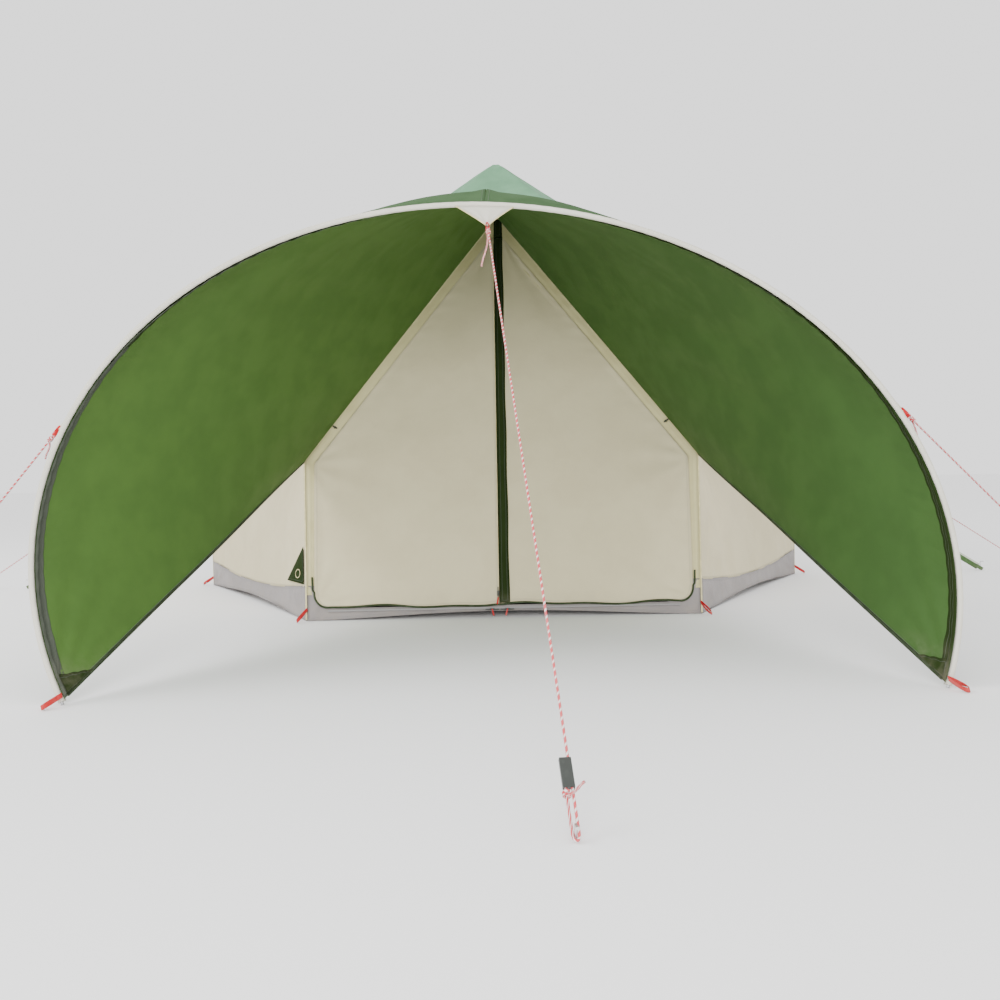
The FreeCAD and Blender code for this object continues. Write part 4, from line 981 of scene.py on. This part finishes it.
# green roof cloth of the front face, between the hood's seam and the ridges
gableGrids = []
rimHalf = tent["rimRadius"] / 2
for side in (-1, 1):
    share = np.linspace(0, 0.995, 60)[:, None]
    u = np.linspace(0, 1, 25)[None]
    seamX, seamZ = tent["eaveHalf"] * share, tent["seamHeight"] + (
        tent["wallHeight"] - tent["seamHeight"]) * share
    first = np.clip(share / 0.25, 0, 1)
    second = np.clip((share - 0.25) / 0.75, 0, 1)
    ridgeX = rimHalf * first + (tent["eaveHalf"] - rimHalf) * second
    ridgeZ = tent["rimHeight"] + (tent["wallHeight"] - tent["rimHeight"]) * second
    gableGrids.append(frontPoint(side * (seamX * (1 - u) + ridgeX * u), seamZ * (1 - u)
                                 + ridgeZ * u, -0.001 + 0 * u))
gable = addSheet("frontGable", gableGrids, insideTent, "greenOutside", "tent",
                 ["front_gable"])

# sill: the front rim of the floor, low in the middle and higher beside the doors
sillU = np.linspace(-1, 1, 161)
sillV = np.linspace(0, 1, 12)[:, None]
sillTop = 0.056 + 0.094 * smoothStep((np.abs(sillU) * 0.873 - 0.72) / 0.10)
sillLow = 0.001 + rimRise((sillU + 1) / 2)
sillZ = sillLow[None] + (sillTop - sillLow)[None] * sillV
sillX = sillU[None] * (0.8745 + 0.0835 * sillZ)
sillOut = -0.0022 - 0.006 * smoothStep(sillZ / 0.05) * smoothStep((0.84 - np.abs(sillX)) / 0.03)
sillOut = sillOut + 0.0018 * waves(sillX * 1.5, sillZ * 3, 31, 0.22) * np.sin(pi * sillV * 0.9)
sill = addSheet("doorSill", [frontPoint(sillX, sillZ, sillOut)], insideTent, "tubGrey", "tent",
                ["door_sill"])

# hood: the puckers at its two seams, its folds, its belly near the arch, and how far it sinks in,
# then the band along the sleeve, the foot panel and the length of the seam on the tent
hoodSkin = {"archPucker": 0.0022, "archPuckerLength": 0.06, "tentPucker": 0.0016,
            "tentPuckerLength": 0.085, "foldDepth": 0.006, "footFold": 0.0035,
            "belly": 0.034, "bellyFromArch": 0.22, "bellyWidth": 0.16, "sink": 0.004}
hoodBand = {"start": 0.10, "width": 0.034, "least": 0.003, "inset": 0.008, "depth": 0.0009,
            "cover": {-1: 0.014, 1: 0.008}}  # how far the band laps over the sleeve
footPanel = {"apex": (0.998, 0.995), "alongArch": (0.969, 0.995), "alongEdge": (0.998, 0.920)}
seamRun = 2.3
insideHood = (0, -1.9, 0.2)


def hoodInner(side, share):
    # the seam on the front face, from the middle down to the eave corner
    return lerp(frontPoint(0.0, tent["seamHeight"]), eaveCorner(4 if side < 0 else 5), share)


def hoodAngle(side, share):
    return crownAngle + (side * archLimit - crownAngle) * share


def hoodPlain(side, share, out):
    # ruled between tent and arch, lifted in the middle near the crown
    near, far = hoodInner(side, share), archPoint(hoodAngle(side, share))
    rise = arch["crown"] * np.sin(pi * out) * (1 - share)
    point = near * (1 - out[..., None]) + far * out[..., None]
    point[..., 2] += rise
    return point


def hoodSurface(side, share, out, lift=0.0):
    # the plain surface with puckers at both seams and folds that run from tent to arch
    share, out = np.broadcast_arrays(np.asarray(share, float), np.asarray(out, float))
    step = 1e-3
    point = hoodPlain(side, share, out)
    alongShare = hoodPlain(side, np.clip(share + step, 0, 1), out) - hoodPlain(
        side, np.clip(share - step, 0, 1), out)
    alongOut = hoodPlain(side, share, np.clip(out + step, 0, 1)) - hoodPlain(
        side, share, np.clip(out - step, 0, 1))
    normal = unit(np.cross(alongShare, alongOut)) * -side
    run = share * seamRun
    ruling = np.linalg.norm(hoodPlain(side, share, np.ones_like(out))
                            - hoodPlain(side, share, np.zeros_like(out)), axis=-1)
    toArch, toTent = (1 - out) * ruling, out * ruling
    archBeat = np.sin(run * 2 * pi / hoodSkin["archPuckerLength"] + 2.0 * np.sin(run * 7) + side)
    tentBeat = np.sin(run * 2 * pi / hoodSkin["tentPuckerLength"]
                      + 1.6 * np.sin(run * 9 + 1) + side)
    pucker = hoodSkin["archPucker"] * archBeat * np.exp(-toArch / 0.07) * smoothStep(toArch / 0.02)
    pucker = pucker + (hoodSkin["tentPucker"] * tentBeat * np.exp(-toTent / 0.06)
                       * smoothStep(toTent / 0.015))
    fold = hoodSkin["foldDepth"] * waves(run * 1.6, out * 0.8, 12 + side, 0.55) * np.sin(pi * out)
    fromBelly = (toArch - hoodSkin["bellyFromArch"]) / hoodSkin["bellyWidth"]
    lift = lift + hoodSkin["belly"] * (1 - share) ** 1.5 * np.exp(-fromBelly ** 2)
    footFold = hoodSkin["footFold"] * fan(run, toArch, (seamRun, 0.0), 13, 0.45, side)
    move = pucker + fold + footFold * smoothStep(toArch / 0.04) * smoothStep((1 - share) * 30)
    return point + normal * ((move - hoodSkin["sink"]) * smoothStep(share / 0.02) + lift)[..., None]


for side, word in doorNames.items():
    share = np.concatenate([[0.0], np.linspace(0.004, 1, 249)])[:, None]
    out = np.linspace(0.0, 1, 96)[None]
    span = 1 - 0.009 / seamRun
    grid = hoodSurface(side, share, 0.001 + out * (span - 0.001))
    # the inner face takes the hood's inner look, whose tones and glow are painted light coming
    # through the cloth
    piece = addSheet(f"hood{word}", [grid], insideHood, "greenOutside", "tent",
                     [f"hood_{word.lower()}"], inner=f"hoodInsidePaintedLight{word}")
    # dark band along the sleeve, and a dark foot panel with a gathered upper edge
    bandShare = np.linspace(hoodBand["start"], 0.999, 220)[:, None]
    wide = hoodBand["width"] * smoothStep((bandShare - 0.08) / 0.35) + hoodBand["least"]
    bandU = np.linspace(0, 1, 17)[None]
    length = np.linalg.norm(hoodPlain(side, bandShare, np.ones_like(bandShare)) - hoodPlain(
        side, bandShare, np.zeros_like(bandShare)), axis=-1)
    cover = hoodBand["cover"][side] * smoothStep((bandShare - 0.28) / 0.35)
    inner = hoodBand["inset"] - cover + (1 - bandU) * (wide + cover)
    over = smoothStep((0.022 - inner) / 0.010)
    band = hoodSurface(side, bandShare, 1 - inner / length, -0.0026 - 0.0105 * over)
    p = np.linspace(0, 1, 33)[None]
    q = np.linspace(0.03, 1, 20)[:, None]
    scallop = 1 + 0.05 * np.abs(np.sin(3.5 * pi * p)) - 0.03
    footShare, footOut = (apex + q * ((first * (1 - p) + last * p) - apex) * scallop
                          for apex, first, last in zip(*footPanel.values()))
    foot = hoodSurface(side, np.clip(footShare, 0, 1), footOut, -0.0034)
    aboveHood = (0, -1.9, 5)
    addSheet(f"hoodBand{word}", [band], aboveHood, "darkGreen", "tent", [],
             hoodBand["depth"])
    addSheet(f"footPatch{word}", [foot], aboveHood, "darkGreen", "tent",
             ["foot_patches"] if side < 0 else [], hoodBand["depth"])
print("hood made")

# seam tapes: down each corner of the tent, round the peak's rim and along the hood's edges
tapes = {"green": [], "cream": [], "dark": []}
tapeShapes = {"green": bandProfile(0.011, 0.0022), "cream": bandProfile(0.009, 0.002),
              "dark": bandProfile(0.004, 0.011)}
for index in range(6):
    outward = hexCorner(index, 1.0, 0.0)
    share = np.linspace(0, 1, 40)
    ridge = lerp(eaveCorner(index), rimCorner(index), share)
    tapes["green"].append(sweep(ridge, outward + np.array([0, 0, 0.6]), tapeShapes["green"]))
    post = lerp(baseCorner(index) * 0.999 + np.array([0, 0, 0.006]), eaveCorner(index), share)
    tapes["cream"].append(sweep(post, outward, tapeShapes["cream"]))
    rimLine = lerp(rimCorner(index), rimCorner((index + 1) % 6), share)
    tapes["green"].append(sweep(rimLine, (rimLine[20] * [1, 1, 0]) + np.array([0, 0, 0.8]),
                                tapeShapes["green"]))
    if index != 4:
        eaveLine = lerp(eaveCorner(index), eaveCorner((index + 1) % 6), share)
        middle = eaveLine[20] * np.array([1, 1, 0])
        tapes["green"].append(sweep(eaveLine, unit(middle) + np.array([0, 0, 0.3]),
                                    tapeShapes["green"]))
for side in (-1, 1):
    # the hood's own seam is taped on the roof side
    seamLine = hoodInner(side, np.linspace(0.02, 0.97, 60))
    seamLine = seamLine + np.array([side * 0.81, -0.10, 0.58]) * 0.010
    tapes["green"].append(sweep(seamLine, np.array([0, -0.85, 0.5]), tapeShapes["green"]))
    out = np.linspace(0.004, 0.985, 60)
    edge = hoodSurface(side, np.ones_like(out) * 0.999, out, 0.0)
    drop = np.array([side * 0.35, 0.0, -0.9])
    tapes["dark"].append(sweep(edge, drop, tapeShapes["dark"]))
addTubes("seamTapes", tapes["green"], darkPiping, "tent")
addTubes("cornerTapes", tapes["cream"], palePiping, "tent")
addTubes("hoodEdges", tapes["dark"], darkPiping, "tent")

# sleeve: a soft tube with a flat sewn tail that points along the hood
sleeve = {"radius": 0.0088, "tail": 0.016, "steps": 420}
angle = np.linspace(-archLimit, archLimit, sleeve["steps"])
line = archPoint(angle)
share = np.abs((angle - crownAngle) / (np.sign(angle) * archLimit - crownAngle))
toTent = unit(np.where((angle < crownAngle)[:, None], hoodInner(-1, share), hoodInner(1, share))
              - line)
turn = np.linspace(0.35, 2 * pi - 0.35, 20)
tube = np.stack([sleeve["radius"] * np.sin(turn), sleeve["radius"] * np.cos(turn)], -1)
tail = np.array([(-0.0012, sleeve["tail"]), (0.0012, sleeve["tail"])])
profile = np.concatenate([tube, tail])
sleeveGrid = sweep(line, toTent, profile)
run = np.concatenate([[0], np.cumsum(np.linalg.norm(np.diff(line, axis=0), axis=1))])
gather = 1 + 0.035 * np.sin(run * 2 * pi / 0.045 + 2 * np.sin(run * 11))[:, None, None] * (
    np.sin(turn.tolist() + [0.0, 0.0]) ** 2)[None, :, None]
sleeveGrid = line[:, None] + (sleeveGrid - line[:, None]) * gather
addTubes("archSleeve", [sleeveGrid], cloth["paleSleeve"], "tent",
         ["arch_sleeve"])
print("sleeve made")

# guy patches: cloth triangles from the sleeve to a ring, with bound edges
# each has its place as an angle on the arch, its width at the sleeve and its reach
guyPatches = {"front": (crownAngle, 0.180, 0.130), "arch_left": (-math.radians(67), 0.110, 0.075),
              "arch_right": (math.radians(67), 0.110, 0.075)}
pegs = {"front": (0.121, -4.068, 0), "arch_left": (-2.09, -2.625, 0),
        "arch_right": (2.09, -2.625, 0), "ridge_left": (-3.168, 0, 0),
        "ridge_right": (3.168, 0, 0)}
ropeRing = {"width": 0.013, "band": 0.011, "archLength": 0.038, "inset": 0.012,
            "ridgeLength": 0.048, "ridgeWidth": 0.014}
patchSkin = {"turnRadius": 1.3, "lift": 0.008, "tip": 0.045, "wrinkle": 0.0016}
patchGrids, bindings, loops = [], [], []


def webLoop(start, pull, side, length, width, band, thick=0.0018):
    # a long loop of webbing, its flat side turned along the given direction
    turn = np.linspace(0, 2 * pi, 33)[:-1]
    across = np.cross(pull, side)
    path = (start + pull * (length / 2 * (1 - np.cos(turn)))[:, None]
            + across * (width / 2 * np.sin(turn) * (0.55 + 0.45 * (1 - np.cos(turn)) / 2))[:, None])
    tangent = unit(np.roll(path, -1, 0) - np.roll(path, 1, 0))
    outward = np.cross(tangent, side)
    profile = bandProfile(band, thick)
    ring = path[:, None] + side * profile[None, :, :1] + outward[:, None] * profile[None, :, 1:]
    return np.concatenate([ring, ring[:1]])


for name, (patchAngle, base, reach) in guyPatches.items():
    centre = archPoint(np.array(patchAngle))
    pull = unit(np.array(pegs[name]) - centre)
    halfTurn = base / 2 / patchSkin["turnRadius"]
    near = np.linspace(patchAngle - halfTurn, patchAngle + halfTurn, 31)
    rootLine = archPoint(near) + pull * patchSkin["lift"]
    tip = centre + pull * reach
    v = np.linspace(0, 1, 25)[:, None, None]
    narrow = (1 - v) ** 1.12
    middle = centre + pull * (reach * v)
    sideways = (rootLine - centre - pull * patchSkin["lift"])[None]
    grid = (middle + sideways * (narrow * (1 - patchSkin["tip"]) + patchSkin["tip"])
            + pull * patchSkin["lift"] * (1 - v))
    bend = unit(np.cross(pull, rootLine[-1] - rootLine[0]))
    u = np.linspace(-1, 1, 31)
    wrinkle = patchSkin["wrinkle"] * np.sin(u * 9)[None, :, None] * np.sin(pi * v)
    grid = grid + bend * wrinkle
    patchGrids.append(grid)
    for edge in (0, -1):
        bindings.append(sweep(grid[:, edge], bend, bandProfile(0.0045, 0.003)))
    loops.append(webLoop(tip - pull * ropeRing["inset"], pull, bend, ropeRing["archLength"],
                         ropeRing["width"], ropeRing["band"]))
patches = addSheet("guyPatches", patchGrids, (0, 0, 0), "paleSleeve", "tent",
                   ["guy_patches"])
addTubes("guyPatchBindings", bindings, palePiping, "tent")

ridgeRope = {"radius": 1.35, "patchAcross": 0.07, "patchAlong": 0.06}  # where it leaves the ridge
ridgePatches = []
for side, corner, name in ((-1, 3, "ridge_left"), (1, 0, "ridge_right")):
    rim, eave = rimCorner(corner), eaveCorner(corner)
    centre = lerp(rim, eave, (ridgeRope["radius"] - tent["rimRadius"])
                  / (tent["cornerRadius"] - tent["rimRadius"]))
    pull = unit(np.array(pegs[name]) - centre)
    loops.append(webLoop(centre + pull * 0.003, pull, np.array([0, 1.0, 0]),
                         ropeRing["ridgeLength"], ropeRing["ridgeWidth"], ropeRing["band"]))
    ridgeLine = unit(eave - rim)
    for turnSide in (-1, 1):
        other = rimCorner(corner + turnSide)
        inPlane = unit(other - rim - ridgeLine * ((other - rim) @ ridgeLine))
        outward = unit(np.cross(ridgeLine, inPlane))
        outward = outward * np.sign(outward @ np.array([side, 0, 0.4]))
        v = np.linspace(0, 1, 15)[:, None, None]
        u = np.linspace(-1, 1, 15)[None, :, None]
        ridgePatches.append(centre + inPlane * ridgeRope["patchAcross"] * v
                            + ridgeLine * ridgeRope["patchAlong"] * u * (1 - v * 0.96)
                            + outward * (0.0012 - 0.010 * v * v))
addSheet("ridgePatches", ridgePatches, (0, 0, 0), "darkGreen", "tent")
addTubes("guyRings", loops, redWebbing, "tent", ["guy_rings"])

# storm straps from the side and rear corners, with a pale lower edge
strap = {"reach": 2.85, "ground": 0.0228, "width": 0.038, "thickness": 0.0018, "start": 0.012}
for groupName, corners in (("storm_straps_left", (2, 3)), ("storm_straps_right", (0, 1))):
    straps = []
    for index in corners:
        eave = eaveCorner(index)
        level = unit(eave * np.array([1, 1, 0]))
        top = eave - level * strap["start"]
        ground = level * strap["reach"] + np.array([0, 0, strap["ground"]])
        pull = unit(ground - top)
        down = np.cross(pull, np.cross(pull, [0, 0, 1.0]))
        down = down * -np.sign(down[2])
        side = unit(np.cross(pull, [0, 0, 1.0]))
        straps.append(sweep(lerp(top, ground, np.linspace(0, 1, 50)), side,
                            bandProfile(strap["width"], strap["thickness"])))
        straps.append(webLoop(ground - pull * 0.012, pull, unit(down), 0.045, 0.012, 0.02))
    camel = "stormStraps" + ("Left" if "left" in groupName else "Right")
    addTubes(camel, straps, strapWebbing, "tent", [groupName])

# ground loops: red webbing from each lower corner and arch foot to its peg
groundLoop = {"radius": 1.742, "height": 0.052, "footHeight": 0.030, "reach": 0.068,
              "pegHeight": 0.009, "width": 0.018, "band": 0.014, "thickness": 0.0022}
groundLoops = []
anchors = [(hexCorner(i, groundLoop["radius"], groundLoop["height"]), hexCorner(i, 1, 0))
           for i in range(6)]
for side in (-1, 1):
    footPlace = archPoint(np.array(side * math.acos(-arch["centre"] / arch["rise"])))
    out = unit(np.array([side * 0.42, -0.9, 0]))
    anchors.append((np.array([footPlace[0], footPlace[1], groundLoop["footHeight"]])
                    + out * 0.004, out))
for start, level in anchors:
    fall = start[2] - groundLoop["pegHeight"]
    out = unit(level * groundLoop["reach"] - np.array([0, 0, fall]))
    tilt = unit(np.array([0, 0, 1.0]) + 0.35 * np.cross(out, [0, 0, 1.0]))
    length = groundLoop["reach"] / float(out @ level)
    groundLoops.append(webLoop(start, out, tilt, length, groundLoop["width"],
                               groundLoop["band"], groundLoop["thickness"]))
addTubes("groundLoops", groundLoops, redWebbing, "tent", ["ground_loops"])

# cable flap: a small triangle of cloth with a plain ring on it
cableShape = {"low": 0.154, "high": 0.319, "near": 0.016, "far": 0.246,
              "ringAlong": 0.030, "ringUp": 0.019}
heel, head, far = (lerp(baseCorner(index), eaveCorner(index), height / tent["wallHeight"])
                   for index, height in ((4, cableShape["low"]), (4, cableShape["high"]),
                                         (3, cableShape["low"])))
along = unit(far - heel)
flapPoints = [heel + along * cableShape["near"], heel + along * cableShape["far"],
              head + along * cableShape["near"]]
flapOutward = unit(np.cross(flapPoints[1] - flapPoints[0], flapPoints[2] - flapPoints[0]))
flapOutward = flapOutward * -np.sign(flapOutward[1])
v = np.linspace(0, 1, 24)[:, None, None]
u = np.linspace(0, 1, 24)[None, :, None]
low = flapPoints[0] * (1 - u) + flapPoints[1] * u
flapGrid = low * (1 - v) + flapPoints[2] * v
bulge = 0.0055 + 0.004 * np.sin(pi * u) * np.sin(pi * np.clip(v * 1.2, 0, 1)) * (1 - v)
cable = addSheet("cableFlap", [flapGrid + flapOutward * bulge], (0, 0, 0.5), "darkGreen",
                 "cable_flap", ["cable_flap"])
ringCentre = (flapPoints[0] * 0.47 + flapPoints[1] * 0.28 + flapPoints[2] * 0.25
              + flapOutward * 0.0098)
ringTurn = np.linspace(0, 2 * pi, 49)
ringSide = unit(np.cross(flapOutward, along))
ringLine = (ringCentre + along * (cableShape["ringAlong"] * np.cos(ringTurn))[:, None]
            + ringSide * (cableShape["ringUp"] * np.sin(ringTurn))[:, None])
addTubes("cableFlapRing", [sweep(ringLine, flapOutward, bandProfile(0.004, 0.0016))],
         palePiping, "cable_flap")

# toggles: a waisted bar held by an elastic loop, at the slanted edge of each door
toggle = {"place": 0.88, "length": 0.028, "radius": 0.0042, "waist": 0.0016, "cord": 0.0012}
for side, word in doorNames.items():
    top = frontPoint(np.array(0.0), tent["headHeight"])
    eave = frontPoint(np.array(side * tent["doorEave"]), tent["wallHeight"])
    point = lerp(top, eave, toggle["place"])
    slant = unit(eave - top)
    across = np.cross(frontOut, slant)
    across = across * np.sign(across[0] * side)
    start = point + across * 0.002 + frontOut * 0.008
    place = np.linspace(0, 1, 25)
    thick = toggle["radius"] - toggle["waist"] * np.exp(-((place - 0.5) / 0.12) ** 2)
    thick = (thick * np.sqrt(np.clip(1 - (2 * place - 1) ** 8, 0.03, 1)))[:, None]
    turn = np.linspace(0, 2 * pi, 17)[:-1]
    bar = (start + across * (toggle["length"] * place)[:, None])[:, None] + (
        slant * (thick * np.cos(turn))[..., None] + frontOut * (thick * np.sin(turn))[..., None])
    body = f"toggle_{word.lower()}"
    addTubes(f"toggle{word}", [bar], blackPlastic, body, [body])
    middle = start + across * (toggle["length"] / 2)
    turnAngle = np.linspace(0, 2 * pi, 41)
    cordLoop = (middle - frontOut * 0.0035 + slant * (0.0060 * np.sin(turnAngle))[:, None]
                + frontOut * (0.0068 * np.cos(turnAngle))[:, None])
    addTubes(f"toggleLoop{word}", [sweep(cordLoop, across, roundProfile(toggle["cord"], 8))],
             darkPiping, "tent")

# pull cords on the zip sliders
zipPull = {"length": 0.030, "width": 0.006, "band": 0.0065, "thickness": 0.002}
for sliderName in ("zip_slider_left", "zip_slider_right", "zip_slider_centre"):
    low, high = (np.array(corner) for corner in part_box(sliderName))
    middle = (low + high) / 2
    if "centre" in sliderName:
        hang = middle + np.array([0, -0.004, 0]) - frontUp * 0.020 + frontOut * 0.004
        aim = unit(np.array([-0.15, -0.12, -1.0]))
    else:
        hang = middle + frontOut * 0.0045
        aim = unit(np.array([0.25 if "left" in sliderName else -0.25, -0.25, -1.0]))
    loop = webLoop(hang, aim, unit(np.cross(aim, frontOut)), *zipPull.values())
    addPiece("pull" + "".join(w.capitalize() for w in sliderName.split("_")),
             tubeMesh(sliderName + "Pull", [loop]), redWebbing, sliderName)

dress(greySteel, "pole_lower", "pole_middle", "pole_upper", "arch_ferrules", "arch_tips")
dress(zincSteel, "ground_pegs")
dress(darkRod, "arch_rods")
dress(blackPlastic, "pole_foot", "pole_cap", "strap_buckles", "front_runner",
      "arch_left_runner", "arch_right_runner", "ridge_left_runner", "ridge_right_runner",
      "zip_slider_centre", "zip_slider_left", "zip_slider_right")
dress(blackZip, "zip_tape_left", "zip_tape_right")
dress(greyZip, "zip_bottom")
print("small parts made")

# floor, sky and lamps
studio = {"floor": (0.92, 0.92, 0.92), "sky": (1.0, 1.0, 1.0), "skyStrength": 1.7,
          "keyPlace": (-7.0, -3.0, 6.0), "keyPower": 380, "keySize": 4.0,
          "fillPlace": (-0.6, -8.5, 1.3), "fillPower": 400, "fillSize": 3.0}
ground = bpy.data.meshes.new("studioFloor")
ground.from_pydata([(-60, -60, 0), (60, -60, 0), (60, 60, 0), (-60, 60, 0)], [], [(0, 1, 2, 3)])
floorMaterial, _, floorShader = startMaterial("studioFloor")
floorShader.inputs["Base Color"].default_value = (*studio["floor"], 1)
floorShader.inputs["Roughness"].default_value = 0.9
ground.materials.append(floorMaterial)
floorPiece = bpy.data.objects.new("studioFloor", ground)
scene.collection.objects.link(floorPiece)
world = bpy.data.worlds.new("studioSky")
world.use_nodes = True
sky = world.node_tree.nodes["Background"]
sky.inputs["Color"].default_value = (*studio["sky"], 1)
sky.inputs["Strength"].default_value = studio["skyStrength"]
scene.world = world


def addLamp(name, place, power, size, target=(0, -1.5, 0.8)):
    data = bpy.data.lights.new(name, "AREA")
    data.energy = power
    data.size = size
    lamp = bpy.data.objects.new(name, data)
    scene.collection.objects.link(lamp)
    back = unit(np.array(place) - np.array(target))
    side = unit(np.cross([0, 0, 1.0], back))
    turn = np.stack([side, np.cross(back, side), back, np.array(place, float)], axis=1)
    lamp.matrix_world = Matrix(turn.tolist() + [[0, 0, 0, 1]])


addLamp("keyLamp", studio["keyPlace"], studio["keyPower"], studio["keySize"])
addLamp("fillLamp", studio["fillPlace"], studio["fillPower"], studio["fillSize"])

print("scene made")
